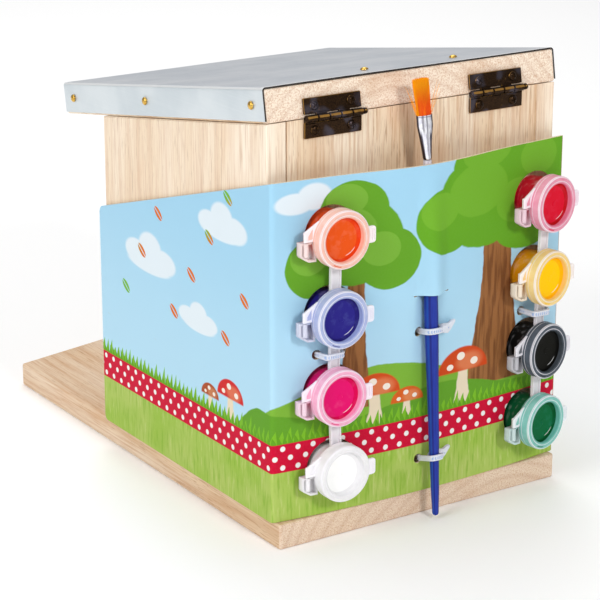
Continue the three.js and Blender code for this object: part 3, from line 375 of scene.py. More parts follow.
class Graph:
    """The node tree of one material, with short ways to add nodes to it."""

    def __init__(self, name: str) -> None:
        """Makes the material with an empty tree."""
        self.material = bpy.data.materials.new(name)
        self.material.use_nodes = True
        self.tree = self.material.node_tree
        self.tree.nodes.clear()

    def node(
        self, kind: str, settings: Sockets | None = None, inputs: dict[str | int, object] | None = None,
        out: str | int = 0,
    ) -> Val:
        """Adds one node.

        Args:
            kind: the node's type, without its ShaderNode prefix.
            settings: attributes set first.
            inputs: values, hexadecimal colours or links by socket name or number.
            out: the output that is returned.

        Returns:
            The chosen output.
        """
        made = self.tree.nodes.new("ShaderNode" + kind)
        for key, value in (settings or {}).items():
            setattr(made, key, value)
        for key, value in (inputs or {}).items():
            if isinstance(value, Val):
                self.tree.links.new(value.socket, made.inputs[key])
            else:
                made.inputs[key].default_value = srgb(value) if isinstance(value, str) else value
        return Val(self, made.outputs[out])

    def math(self, operation: str, *values: Number) -> Val:
        """Adds a Math node of an operation on one to three values."""
        return self.node("Math", {"operation": operation}, dict(enumerate(values)))

    def mix(self, factor: Number, first: Tint, second: Tint, blend: str = "MIX") -> Val:
        """Mixes two colours."""
        settings = {"data_type": "RGBA", "blend_type": blend}
        return self.node("Mix", settings, {0: factor, 6: first, 7: second}, out=2)

    def layers(self, base: Tint, *coats: Coat) -> Tint:
        """Lays coats over a base colour, each a mask and a colour."""
        return reduce(lambda under, coat: self.mix(coat[0], under, coat[1]), coats, base)

    def split(self, vector: Val) -> tuple[Val, Val, Val]:
        """The three numbers of a vector."""
        outputs = self.node("SeparateXYZ", {}, {0: vector}).socket.node.outputs
        return Val(self, outputs[0]), Val(self, outputs[1]), Val(self, outputs[2])

    def joined(self, x: Number, y: Number, z: Number = 0.0) -> Val:
        """A vector of three numbers."""
        return self.node("CombineXYZ", {}, {0: x, 1: y, 2: z})

    def scaled(self, vector: Val, scales: Sequence[float]) -> Val:
        """A vector with each of its numbers multiplied by its own scale."""
        return self.node("VectorMath", {"operation": "MULTIPLY"}, {0: vector, 1: tuple(scales)})

    @cached_property
    def place(self) -> Val:
        """The place on the object, in millimetres."""
        return self.scaled(self.node("TexCoord", out="Object"), [1 / MM] * 3)

    @cached_property
    def chart(self) -> Val:
        """The place on the piece's own flat chart, in millimetres."""
        return self.scaled(self.node("UVMap", {"uv_map": "chart"}), [CHART_MM] * 3)

    def mark(self, name: str, out: str = "Fac") -> Val:
        """A number or a colour that the mesh carries."""
        return self.node("Attribute", {"attribute_name": name}, out=out)

    def noise(
        self, scale: float | Sequence[float], detail: float = 2.0, rough: float = 0.5, place: Val | None = None
    ) -> Val:
        """Smooth noise from 0 to 1 with a mean near a half.

        Args:
            scale: waves per millimetre, the same every way or one for each axis.
            detail: how many finer waves are laid over each other.
            rough: how strong the finer ones are.
            place: what the noise is laid over; the place on the object if left out.

        Returns:
            The noise.
        """
        scales = [scale] * 3 if isinstance(scale, float) else scale
        spot = self.scaled(place or self.place, scales)
        return self.node("TexNoise", {}, {"Vector": spot, "Scale": 1.0, "Detail": detail, "Roughness": rough})

    def finish(
        self, colour: Tint, rough: Number, relief: tuple[Val, float, float] | None = None, **sockets: Number
    ) -> Material:
        """Ends the tree in a Principled shader.

        Args:
            colour: its colour.
            rough: its roughness.
            relief: a height field, its strength and its depth in millimetres.
            sockets: other values by socket name, with underscores for spaces.

        Returns:
            The material.
        """
        inputs = {"Base Color": colour, "Roughness": rough} | {k.replace("_", " "): v for k, v in sockets.items()}
        if relief:
            height, strength, depth = relief
            tilted = {"Height": height, "Strength": strength, "Distance": depth * MM}
            inputs["Normal"] = self.node("Bump", {}, tilted, "Normal")
        shader = self.node("BsdfPrincipled", {}, inputs)
        target = self.tree.nodes.new("ShaderNodeOutputMaterial")
        self.tree.links.new(shader.socket, target.inputs["Surface"])
        return self.material


# ---- shapes


def fetched(source: bpy.types.bpy_prop_collection, key: str, width: int = 1, kind: type = float) -> Array:
    """One number or vector from each element of a mesh, as an array.

    Args:
        source: one of a mesh's collections, such as its vertices.
        key: the property to read.
        width: how many numbers an element has.
        kind: their type.

    Returns:
        One row for each element.
    """
    values = np.zeros(len(source) * width, kind)
    source.foreach_get(key, values)
    return values.reshape(-1, width) if width > 1 else values


def placed(name: str, data: bpy.types.ID) -> Object:
    """Makes an object and links it to the scene.

    Args:
        name: the object's name.
        data: its mesh, lamp or camera.

    Returns:
        The object.
    """
    thing = bpy.data.objects.new(name, data)
    bpy.context.scene.collection.objects.link(thing)
    return thing


@dataclass
class Shape:
    """Points and faces in millimetres. Faces are runs of point numbers, one run per face."""

    points: Array
    corners: Array
    sizes: Array

    @staticmethod
    def of(points: Array, *blocks: Array) -> Shape:
        """Makes a shape of points and blocks of equal-sided faces."""
        corners = np.concatenate([np.asarray(b, int).ravel() for b in blocks])
        sizes = np.concatenate([np.full(len(b), np.asarray(b).shape[1]) for b in blocks])
        return Shape(np.asarray(points, float).reshape(-1, 3), corners, sizes)

    @staticmethod
    def read(thing: Object) -> Shape:
        """The shape of an object with its modifiers applied; the object is then deleted."""
        graph = bpy.context.evaluated_depsgraph_get()
        mesh = bpy.data.meshes.new_from_object(thing.evaluated_get(graph))
        bpy.data.objects.remove(thing)
        corners = fetched(mesh.loops, "vertex_index", kind=np.int32)
        return Shape(fetched(mesh.vertices, "co", 3), corners, fetched(mesh.polygons, "loop_total", kind=np.int32))

    def __add__(self, other: Shape) -> Shape:
        """Both shapes together."""
        corners = np.concatenate([self.corners, other.corners + len(self.points)])
        return Shape(np.vstack([self.points, other.points]), corners, np.concatenate([self.sizes, other.sizes]))

    def moved(self, x: float = 0, y: float = 0, z: float = 0) -> Shape:
        """The shape shifted by a distance."""
        return Shape(self.points + np.array([x, y, z]), self.corners, self.sizes)

    def by(self, matrix: Matrix) -> Shape:
        """The shape carried by a matrix."""
        return Shape(carried(self.points, matrix), self.corners, self.sizes)

    def mesh(self, name: str, clean: bool = True) -> bpy.types.Mesh:
        """Turns the shape into a mesh, still in millimetres.

        Args:
            name: the mesh's name.
            clean: whether doubles are merged and faces are turned outwards.

        Returns:
            The mesh.
        """
        mesh = bpy.data.meshes.new(name)
        mesh.vertices.add(len(self.points))
        mesh.vertices.foreach_set("co", self.points.astype(np.float32).ravel())
        mesh.loops.add(len(self.corners))
        mesh.polygons.add(len(self.sizes))
        starts = np.concatenate([[0], np.cumsum(self.sizes)[:-1]])
        mesh.polygons.foreach_set("loop_start", starts.astype(np.int32))
        mesh.loops.foreach_set("vertex_index", self.corners.astype(np.int32))
        mesh.update(calc_edges=True)
        if clean:
            work = bmesh.new()
            work.from_mesh(mesh)
            bmesh.ops.remove_doubles(work, verts=work.verts, dist=1e-4)
            bmesh.ops.recalc_face_normals(work, faces=work.faces)
            work.to_mesh(mesh)
            work.free()
        return mesh


def joined_shapes(shapes: Sequence[Shape]) -> Shape:
    """Several shapes together."""
    return reduce(Shape.__add__, shapes)


def carried(points: Array, matrix: Matrix) -> Array:
    """Points carried by a matrix."""
    m = np.array(matrix)
    return points @ m[:3, :3].T + m[:3, 3]


def quads(rows: int, columns: int) -> Array:
    """The faces of a grid of points whose last column joins its first.

    Args:
        rows: the grid's rows.
        columns: its columns.

    Returns:
        Four vertex numbers for each face.
    """
    index = np.arange(rows * columns).reshape(rows, columns)
    index = np.hstack([index, index[:, :1]])
    return np.stack([index[:-1, :-1], index[:-1, 1:], index[1:, 1:], index[1:, :-1]], -1).reshape(-1, 4)


def capped(points: Array) -> Shape:
    """A tube of closed rings with a flat face at each end; rings are rows.

    Args:
        points: the rings, one row each.

    Returns:
        The closed tube.
    """
    rows, columns = points.shape[:2]
    ends = [np.arange(columns)[::-1], np.arange(columns) + (rows - 1) * columns]
    return Shape.of(points, quads(rows, columns), np.array(ends))


def looped(points: Array) -> Shape:
    """A closed surface on rings of points whose last ring is joined to the first."""
    closed = np.concatenate([points, points[:1]])
    return Shape.of(closed, quads(*closed.shape[:2]))


def sheet_between(outer: Array, inner: Array) -> Shape:
    """A closed sheet between two grids of points.

    Args:
        outer: the grid of one face.
        inner: the grid of the other.

    Returns:
        The closed sheet.
    """
    around = np.concatenate([outer, inner[:, ::-1]], axis=1)
    rows, columns = around.shape[:2]
    i = np.arange(columns // 2 - 1)
    rim = np.stack([i, i + 1, columns - 2 - i, columns - 1 - i], -1)
    return Shape.of(around, quads(rows, columns), rim, rim[:, ::-1] + (rows - 1) * columns)


def folded(side: Array, edge: float, top: float, radius: float, turns: int, across: int) -> tuple[Array, Array]:
    """A line up a side, round a fold, across the top and down again as its mirror image.

    Args:
        side: heights of the points of the side.
        edge: distance of the side from the middle.
        top: height of the top.
        radius: radius of the fold.
        turns: steps round the fold.
        across: points from the fold to the middle.

    Returns:
        The line and its outward directions.
    """
    turn = np.linspace(0, math.pi / 2, turns + 1)[1:-1]
    out = np.stack([np.cos(turn), np.sin(turn)], -1)
    x = np.linspace(edge - radius, 0, across)
    line = np.vstack([np.stack([np.full_like(side, edge), side], -1), np.array([edge, top]) - radius + radius * out,
                      np.stack([x, np.full_like(x, top)], -1)])
    facing = np.vstack([np.tile([1.0, 0.0], (len(side), 1)), out, np.tile([0.0, 1.0], (across, 1))])
    return tuple(np.vstack([half, (half * [-1.0, 1.0])[-2::-1]]) for half in (line, facing))


def lathe(profile: Sequence[Point], sides: int = 48) -> Shape:
    """Turns a profile of radius and height about the Y axis. Its first and last rings are closed flat.

    Args:
        profile: radius and height of each ring.
        sides: points on a ring.

    Returns:
        The turned shape.
    """
    outline = np.array(profile, float)
    turn = np.linspace(0, 2 * math.pi, sides, endpoint=False)
    x, z = outline[:, :1] * np.cos(turn), outline[:, :1] * np.sin(turn)
    return capped(np.stack([x, np.repeat(outline[:, 1:], sides, axis=1), z], -1))


def dome(radius: float, height: float, degrees: Sequence[float]) -> list[Point]:
    """A lathe profile up an oval dome."""
    return [(radius * math.cos(t), height * math.sin(t)) for t in np.radians(degrees)]


def arc(cx: float, cy: float, r: float, start: float, end: float, steps: int) -> list[Point]:
    """Points on an arc, its angles in degrees."""
    return [(cx + x, cy + y) for x, y in dome(r, r, np.linspace(start, end, steps + 1))]


def rounded(corners: Sequence[tuple[float, float, float]], steps: int = 5) -> list[Point]:
    """A closed outline whose corners, given as x, y and radius, are rounded.

    Args:
        corners: the outline's corners.
        steps: points on each rounding.

    Returns:
        The outline's points.
    """
    outline: list[Point] = []
    for i, (x, y, r) in enumerate(corners):
        if not r:
            outline.append((x, y))
            continue
        here = Vector((x, y))
        before = (Vector(corners[i - 1][:2]) - here).normalized()
        after = (Vector(corners[(i + 1) % len(corners)][:2]) - here).normalized()
        reach = r / math.tan(before.angle(after) / 2)
        start, end = here + before * reach, here + after * reach
        for t in np.linspace(0, 1, steps + 1):
            spot = start * (1 - t) ** 2 + here * 2 * t * (1 - t) + end * t**2
            outline.append((spot.x, spot.y))
    return outline


def boxed(x0: float, y0: float, x1: float, y1: float, r: float, steps: int) -> list[Point]:
    """A rectangle's outline with rounded corners."""
    return rounded([(x0, y0, r), (x1, y0, r), (x1, y1, r), (x0, y1, r)], steps)


def plate(outlines: Sequence[Sequence[Point]], low: float, high: float, ease: float) -> Shape:
    """A flat plate with rounded rims; later outlines are holes in the first.

    Args:
        outlines: closed outlines of x and y.
        low: height of the lower face.
        high: height of the upper face.
        ease: radius of the rims.

    Returns:
        The closed plate, thick along Z.
    """
    curve = bpy.data.curves.new("plate", "CURVE")
    curve.dimensions = "2D"
    curve.fill_mode = "BOTH"
    curve.extrude = (high - low) / 2 - ease
    curve.bevel_depth = ease
    curve.bevel_resolution = 2
    curve.offset = -ease
    for outline in outlines:
        spline = curve.splines.new("POLY")
        spline.points.add(len(outline) - 1)
        spline.points.foreach_set("co", [c for x, y in outline for c in (x, y, 0, 1)])
        spline.use_cyclic_u = True
    return Shape.read(placed("plate", curve)).moved(z=(low + high) / 2)


def upright(outlines: Sequence[Sequence[Point]], near: float, far: float, ease: float) -> Shape:
    """A plate drawn on the XZ plane that reaches from one Y to a greater one."""
    return plate(outlines, -far, -near, ease).by(STANDING)


def block(low: Sequence[float], high: Sequence[float], ease: float) -> Shape:
    """A block between two corners with rounded edges."""
    return plate([boxed(low[0], low[1], high[0], high[1], ease, 3)], low[2], high[2], ease)


def bar(radius: float, low: float, high: float, sides: int, ease: float = 0.1) -> Shape:
    """A round bar along Y with eased ends.

    Args:
        radius: its radius.
        low: the end at lower y.
        high: the other end.
        sides: its faces round.
        ease: how far its edges are eased.

    Returns:
        The bar.
    """
    inset = ease * 1.8
    return lathe([(radius - ease, low), (radius, low + ease), (radius, low + inset), (radius, high - inset),
                  (radius, high - ease), (radius - ease, high)], sides)


def carved(base: Shape, cutters: Sequence[Shape]) -> Shape:
    """Cuts shapes out of a closed shape.

    Args:
        base: the shape to cut.
        cutters: what is cut out of it.

    Returns:
        The cut shape.
    """
    thing, tool = placed("base", base.mesh("base")), placed("tool", joined_shapes(cutters).mesh("tool"))
    cut = thing.modifiers.new("cut", "BOOLEAN")
    cut.operation = "DIFFERENCE"
    cut.solver = "EXACT"
    cut.object = tool
    shape = Shape.read(thing)
    bpy.data.objects.remove(tool)
    return shape


# ---- placing pieces


class Studio:
    """Holds the frame and places pieces in it."""

    def __init__(self) -> None:
        """Loads the frame and finds the construction frame's origin in it."""
        self.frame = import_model()
        self.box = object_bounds()
        low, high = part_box("back_wall")
        self.middle = (low.x + high.x) / 2
        self.back = high.y
        self.shift = np.array([self.middle, self.back, 0.0])

    def add(
        self, name: str, shape: Shape, node: str, slot: str, *finishes: Material,
        body: str | None = "feeder", chart: Callable[[Array], Array] | None = None,
        marks: dict[str, Rule] | None = None, face_kind: Rule | None = None, sharp: float = 35.0, clean: bool = True,
    ) -> Object:
        """Places one piece.

        Args:
            name: the piece's name.
            shape: its shape in the construction frame.
            node: the CAD node that it stands for.
            slot: the record's material slot; not used.
            finishes: its materials.
            body: the body that it moves with, or None for a piece that is left unattached.
            chart: gives each point's flat place in millimetres.
            marks: a number or a colour for each point by name, from points and normals.
            face_kind: gives each face's material number from its centre and normal.
            sharp: angle in degrees from which an edge stays sharp.
            clean: whether doubles are merged and faces turned outwards.

        Returns:
            The object.
        """
        mesh = shape.mesh(name, clean)
        points, normals = fetched(mesh.vertices, "co", 3), fetched(mesh.vertices, "normal", 3)
        if chart:
            spots = (chart(points) / CHART_MM)[fetched(mesh.loops, "vertex_index", kind=np.int32)]
            mesh.uv_layers.new(name="chart").data.foreach_set("uv", spots.astype(np.float32).ravel())
        for key, rule in (marks or {}).items():
            values = rule(points, normals).astype(np.float32)
            kind, field = ("FLOAT_COLOR", "color") if values.ndim > 1 else ("FLOAT", "value")
            mesh.attributes.new(key, kind, "POINT").data.foreach_set(field, values.ravel())
        for finish in finishes:
            mesh.materials.append(finish)
        if face_kind:
            kinds = face_kind(fetched(mesh.polygons, "center", 3), fetched(mesh.polygons, "normal", 3))
            mesh.polygons.foreach_set("material_index", kinds.astype(np.int32))
        mesh.vertices.foreach_set("co", (points * MM + self.shift).astype(np.float32).ravel())
        mesh.shade_smooth()
        mesh.set_sharp_from_angle(angle=math.radians(sharp))
        mesh.update()
        thing = placed(name, mesh)
        if body:
            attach(thing, body)
        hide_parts(node)
        return thing

    def paint_node(self, node: str, finish: Material) -> None:
        """Gives a CAD node its finish.

        Args:
            node: the CAD node.
            finish: its material.
        """
        thing = self.frame["nodes"][node]
        thing.data.materials.clear()
        thing.data.materials.append(finish)


# ---- finishes


class Grain(Enum):
    """The axis that a board's grain runs along."""

    LENGTH = 1
    HEIGHT = 2


@dataclass(frozen=True)
class Wood:
    """One board's look: its grain, the place of its pith and where its end grain shows."""

    name: str
    grain: Grain
    pith: Point
    ring: float
    ends: Point | None = None
    # A colour washed over the whole board, and how much of it. On the base it is the wood's own darker tone. On the
    # side walls it is a pale wash of painted light for the brighter light that falls on them.
    tone_and_light_wash: str = "#FFF4E4"
    tone_and_light_share: float = 0.0

    def build(self) -> Material:
        """Rings about a far pith, long fibres and small pores, all in the solid of the wood."""
        g = Graph(self.name)
        axes = list(g.split(g.place))
        along = axes.pop(self.grain.value)
        a, b = axes
        solid = g.joined(a, b, along)

        def noise(across: float, lengthwise: float, detail: float = 2.0, rough: float = 0.5) -> Val:
            """Noise in the solid, with one scale across the grain and one along it."""
            return g.noise((across, across, lengthwise), detail, rough, solid)

        radius = (a - self.pith[0]).hypot(b - self.pith[1]) + (noise(0.012, 0.0035) - 0.5) * 26.0
        late = ((radius * (2 * math.pi / self.ring)).do("SINE") * 0.5 + 0.5) ** 3.0
        fibre = noise(1.1, 0.036, 3.0, 0.6)
        broad = noise(0.05, 0.006)
        fleck = noise(0.9, 0.045, 1.0).ramp(0.66, 0.74)
        pore = noise(1.7, 0.11, 2.0, 0.65).ramp(0.58, 0.68)
        blush = noise(0.045, 0.03).ramp(0.5, 0.75)
        colour = g.layers(
            g.mix(broad.ramp(0.3, 0.7), "#F8E9D4", "#EAD1B0"),
            (late * broad.ramp(0.35, 0.65) * 0.5, "#CFA680"),
            (fibre.ramp(0.42, 0.68) * 0.62, "#CCA17A"),
            (fleck * 0.5, "#B4835F"),
            (pore * broad.ramp(0.3, 0.6) * 0.5, "#A2724C"),
            (blush * 0.28, "#D9A679"),
        )
        if self.ends:
            speck = noise(1.7, 1.7, 3.0, 0.75)
            cut = g.layers(
                g.mix(speck.ramp(0.42, 0.66), "#F8EAD8", "#D2AC8E"), (late * 0.26, "#BE9274"), (blush * 0.4, "#C79468")
            )
            colour = g.mix(along.ramp(*self.ends) * 0.85, colour, cut)
        # The wash: the base's own tone, and painted light on the side walls.
        colour = g.mix(self.tone_and_light_share, colour, self.tone_and_light_wash)
        relief = fibre * 0.6 + late * 0.3 - fleck * 0.5
        return g.finish(colour, fibre * 0.15 + 0.56, (relief, 0.5, 0.12), Specular_IOR_Level=0.35)


@dataclass(frozen=True)
class Zinc:
    """Satin sheet metal with faint rolling lines and cloudy patches, painted lighter on its flanges than on its top,
    with a painted highlight along each fold.
    """

    name: str = "zinc_sheet"

    def build(self) -> Material:
        """Makes the material."""
        g = Graph(self.name)
        cloud, speck, rolled = g.noise(0.035, 3.0), g.noise(1.4), g.noise((1.6, 0.02, 1.6))
        top, patch = g.mark("top"), cloud.ramp(0.3, 0.7)
        # Painted light: lit colours for the flanges and darker, shaded colours for the top, chosen by the "top" mark.
        flange, plain = g.mix(patch, "#E3EAED", "#D3DCE1"), g.mix(patch, "#C6C9CE", "#B4B9C0")
        colour = g.layers(
            g.mix(top.ramp(0.75, 0.97), flange, plain),
            (rolled.ramp(0.4, 0.8) * 0.12, "#F0F4F6"),
            # A painted highlight along each fold, where the mark lies between flange and top.
            (top.stripe(0.35, 0.9, 0.12) * 0.7, "#FFFFFF"),
        )
        relief = rolled * 0.5 + speck * 0.2
        return g.finish(colour, cloud * 0.12 + speck * 0.06 + 0.36, (relief, 0.25, 0.05), Metallic=0.62)


@dataclass(frozen=True)
class WornBrass:
    """Darkened brass whose edges are worn bright, with painted glints on its barrels and screws and patches of painted
    bluish sheen.
    """

    name: str = "antique_brass"

    def build(self) -> Material:
        """Makes the material."""
        g = Graph(self.name)
        cloud, fine = g.noise(0.5, 3.0), g.noise(3.0)
        wear_and_glint = (g.mark("wear_and_glint") * 1.2 + cloud * 0.8 - 0.45).ramp(0.45, 0.95) * 0.8
        colour = g.layers(
            g.mix(fine.ramp(0.3, 0.8), "#22160D", "#45301D"),
            # Painted sheen: broad bluish-grey patches that stand in for a reflection.
            (g.noise(0.16, 1.0).ramp(0.5, 0.66) * 0.5, "#575562"),
            # Gold where the mark is high: worn edges and knuckle ends, and painted glints on the barrels and screws.
            (wear_and_glint.above(cloud.ramp(0.64, 0.8) * 0.2), "#C9964A"),
        )
        return g.finish(colour, fine * 0.15 + 0.28, (fine * 0.6 + cloud * 0.3, 0.35, 0.06), Metallic=0.92)


@dataclass(frozen=True)
class BrightMetal:
    """Bright metal with a little tarnish."""

    name: str
    light: str
    dark: str
    rough: float

    def build(self) -> Material:
        """Makes the material."""
        g = Graph(self.name)
        cloud, lines = g.noise(0.9, 3.0), g.noise((0.4, 0.4, 5.0))
        colour = g.mix(cloud.ramp(0.3, 0.75), self.light, self.dark)
        return g.finish(colour, lines * 0.12 + self.rough, (lines + cloud * 0.4, 0.15, 0.04), Metallic=1.0)


@dataclass(frozen=True)
class Acrylic:
    """Clear sheet plastic with faint dust and scratches."""

    name: str = "clear_acrylic"

    def build(self) -> Material:
        """Makes the material."""
        g = Graph(self.name)
        x, y, z = g.split(g.place)
        haze = g.noise(0.08, 3.0)
        scratch = g.noise(1.0, 3.0, place=g.joined(x * 0.1 + z * 0.08, y, z * 1.9)).ramp(0.68, 0.72)
        rough, alpha = haze * 0.06 + scratch * 0.1 + 0.03, haze * 0.05 + scratch * 0.03 + 0.11
        colour = g.mix(haze, "#F2FAFB", "#E2F0F2")
        return g.finish(colour, rough, Alpha=alpha, IOR=1.49, Coat_Weight=0.6)


@dataclass(frozen=True)
class Nylon:
    """Milky white nylon."""

    name: str = "milky_nylon"

    def build(self) -> Material:
        """Makes the material."""
        g = Graph(self.name)
        cloud, fine = g.noise(0.6), g.noise(4.0)
        tooth = g.split(g.place)[0].wrapped(0.95).stripe(-0.2, 0.2, 0.08)
        colour = g.layers(g.mix(cloud, "#EEF0F7", "#D8DCE8"), (g.mark("rib") * tooth * 0.8, "#8FB2E6"))
        return g.finish(colour, fine * 0.12 + 0.32, (fine, 0.12, 0.05), Alpha=0.86, Specular_IOR_Level=0.2)


@dataclass(frozen=True)
class PaintTone:
    """One paint: its colour, the tints that it lends to the plastic around it, its look through the pot, and the
    painted shadow in its lid's window.
    """

    name: str
    colour: str
    tint: str
    shade: str
    cup: str
    # The darker colour of a painted shadow that the window's wall throws on the paint.
    well: str

    def paint(self) -> Material:
        """Wet poster paint with slow streaks."""
        g = Graph("paint_" + self.name)
        streak = g.noise((0.35, 0.2, 0.12), 3.0)
        dark = tuple(c * 0.72 for c in srgb(self.colour)[:3]) + (1.0,)
        colour = g.mix(streak.ramp(0.45, 0.8) * 0.5, self.colour, dark)
        return g.finish(colour, streak * 0.1 + 0.16, (streak, 0.3, 0.3), Coat_Weight=0.3)

    def lid(self) -> Material:
        """Frosted plastic: clear over the paint, with milky rings round it that are tinted by what is inside. The
        window carries a painted shadow of its wall and a painted glint.
        """
        g = Graph("lid_" + self.name)
        u, v, _ = g.split(g.chart)
        height, radius = g.mark("height"), u.hypot(v)
        core = radius.above(0.5)
        cloud, fine = g.noise(0.35, 3.0), g.noise(2.5)
        milk = "#F7F4FA"
        rings = radius.stripe(9.05, 9.3, 0.08).above(radius.stripe(10.55, 10.9, 0.08))
        wall = radius.stripe(10.98, 11.16, 0.03)
        bands = height.stripe(-0.3, 0.35, 0.1).above(height.stripe(1.5, 1.8, 0.12)).above(height.ramp(4.2, 4.8))
        web = height.stripe(0.5, 0.6, 0.03) * radius.ramp(11.2, 11.5) * u.ramp(10.0, 10.6)
        # Painted shadow: a crescent on the window's -X side, in the well colour, where the sunk window's wall shades
        # the paint.
        well = (u - 1.2).hypot(v).ramp(7.2, 7.4)
        window = (u - 0.3).hypot(v - 0.1).ramp(8.26, 8.14)
        glint = radius.stripe(6.35, 6.6, 0.12) * ((u * -0.55 - v * 0.83) / core).ramp(0.9, 0.98)
        dash = radius.stripe(9.75, 10.15, 0.12) * ((u * 0.35 - v * 0.937) / core).ramp(0.978, 0.99)
        inner = g.layers(
            g.mix(well * 0.8, self.colour, self.well),
            (cloud.ramp(0.45, 0.75) * 0.12, self.shade),
            (glint * 0.7, "#FFFFFF"),
        )
        colour = g.layers(
            g.mix(cloud.ramp(0.3, 0.7) * 0.3, self.tint, self.shade),
            (radius.ramp(8.9, 8.3) * 0.6, self.shade),
            (rings * 0.8, milk),
            (wall * bands * 0.8, milk),
            (radius.ramp(11.15, 11.5) * 0.82, milk),
            (web * 0.85, g.mix(0.45, self.tint, self.shade)),
            (window, inner),
            (dash * 0.85, self.colour),
        )
        relief, alpha = fine * 0.4 + cloud * 0.6, 1.0 - radius.stripe(8.2, 11.3, 0.3) * 0.12
        return g.finish(colour, fine * 0.1 + 0.24, (relief, 0.1, 0.12), Alpha=alpha, Specular_IOR_Level=0.04)


# The last colour of each tone is its painted well shadow.
TONES = {
    tone.name: tone
    for tone in (
        PaintTone("orange", "#E4551A", "#F9CDBF", "#F3A48A", "#E8501C", "#E0360E"),
        PaintTone("blue", "#2C2681", "#BAC4E6", "#7B8ACA", "#2A2486", "#241D6A"),
        PaintTone("pink", "#E0146C", "#F9BDD6", "#EE79AD", "#DC1A70", "#D0004A"),
        PaintTone("white", "#FDFDFC", "#F8F7F8", "#E6E4E8", "#EDECEE", "#E9E8EA"),
        PaintTone("red", "#D60F2C", "#EDA6BA", "#D9587C", "#C8142C", "#B4100E"),
        PaintTone("yellow", "#FFC900", "#F8DC98", "#F3BC55", "#E89A10", "#FFB000"),
        PaintTone("black", "#0E0E09", "#5B636D", "#24282A", "#121211", "#060605"),
        PaintTone("green", "#006236", "#93CFC6", "#45A391", "#0A5A34", "#004A20"),
    )
}


@dataclass(frozen=True)
class FrostedPots:
    """Frosted plastic of the pots, coloured by the paint behind it through colours on the mesh."""

    name: str = "frosted_pots"

    def build(self) -> Material:
        """Makes the material."""
        g = Graph(self.name)
        bare, cloud, fine = g.mark("bare"), g.noise(0.4, 3.0), g.noise(2.5)
        flow = g.noise((0.5, 0.5, 0.12)).ramp(0.5, 0.75)
        colour = g.layers(g.mark("tint", "Color"), (flow * 0.15, "#F6F3F6"), (cloud * bare * 0.2, "#DAD6DE"))
        relief, alpha = fine * 0.4 + cloud * 0.5, 1.0 - bare * 0.22
        return g.finish(colour, fine * 0.12 + 0.26, (relief, 0.12, 0.12), Alpha=alpha, Specular_IOR_Level=0.12)


@dataclass(frozen=True)
class BlueLacquer:
    """Royal-blue lacquer over fine wood grain, with painted reflections and painted shade in bands round the handle.
    """

    name: str = "blue_lacquer"

    def build(self) -> Material:
        """Makes the material."""
        g = Graph(self.name)
        grain, cloud, turn = g.noise((1.5, 1.5, 0.06), 3.0), g.noise(0.1), g.mark("turn")
        neck = g.mix(grain.ramp(0.4, 0.7), "#DAD5DD", "#B9B2BE")
        colour = g.layers(
            g.mix(grain.ramp(0.4, 0.75) * 0.5, "#26399A", "#1B2779"),
            (cloud.ramp(0.5, 0.8) * 0.4, "#2C43A6"),
            # Painted light by the angle round the handle: a lighter blue reflection from 12 to 30 degrees, and painted
            # shade from 36 to 52 degrees and towards the -X side.
            (turn.stripe(12.0, 30.0, 7.0) * 0.55, "#1E57AA"),
            (turn.stripe(36.0, 52.0, 7.0) * 0.6, "#171760"),
            (turn.ramp(104.0, 122.0) * 0.7, "#14145C"),
            (g.split(g.place)[2].ramp(BRUSH.neck, BRUSH.neck + 0.6), neck),
        )
        return g.finish(colour, grain * 0.15 + 0.26, (grain, 0.2, 0.08), Specular_IOR_Level=0.14)


@dataclass(frozen=True)
class FerruleMetal:
    """Polished metal with painted reflections: the dark and bright streaks of a curved mirror, which fan out towards
    the flat mouth.
    """

    name: str = "ferrule"

    def build(self) -> Material:
        """Makes the material."""
        g = Graph(self.name)
        turn, mouth, cloud = g.mark("turn"), g.mark("mouth"), g.noise((0.8, 0.8, 0.5))
        angle = turn + (cloud - 0.5) * 9.0
        # The dark bands are painted reflections, laid by the angle round the ferrule.
        flat = angle.ramp(26.0, 18.0).above(angle.stripe(50.0, 66.0, 4.0) * 0.7)
        flat = flat.above(angle.stripe(83.0, 90.0, 3.0) * 0.85).above(angle.ramp(121.0, 130.0))
        tail = angle.ramp(44.0, 34.0).above(angle.stripe(72.0, 92.0, 6.0) * 0.55).above(angle.ramp(98.0, 110.0))
        share = mouth.ramp(0.52, 0.7)
        colour = g.layers(
            g.mix(cloud.ramp(0.3, 0.7), "#F4F4F8", "#DCDBE6"),
            ((tail * (1.0 - share) + flat * share) * 0.92, "#2A2338"),
            (mouth.stripe(0.955, 0.985, 0.006) * 0.5, "#4A4458"),
        )
        return g.finish(colour, cloud * 0.06 + 0.16, (cloud, 0.05, 0.05), Metallic=1.0)


@dataclass(frozen=True)
class BristleHair:
    """Orange synthetic hair that pales towards its tips."""

    name: str = "orange_bristles"

    def build(self) -> Material:
        """Makes the material."""
        g = Graph(self.name)
        fine, side, z = g.noise((3.0, 3.0, 0.1), 3.0), g.mark("side"), g.split(g.place)[2]
        rise = z + (fine - 0.5) * 11.0
        foot, top, pale = BRUSH.ferrule_top, BRUSH.bristle_top, "#FFA80A"
        colour = g.layers(
            g.mix(rise.ramp(foot + 1.0, foot + 9.0), "#E64C0C", "#F0660E"),
            (rise.ramp(foot + 4.5, top - 1.0), "#FFAE0A"),
            (fine.ramp(0.55, 0.68) * 0.45, "#E0500C"),
            (fine.ramp(0.46, 0.38) * 0.35, "#FFA010"),
            (side.ramp(0.74, 1.0) * 0.8, pale),
            (side.ramp(-0.8, -1.0) * z.ramp(foot, top) * 0.8, pale),
            (side.ramp(-1.02, -1.12) * 0.8, pale),
        )
        return g.finish(colour, fine * 0.2 + 0.42, Specular_IOR_Level=0.1)


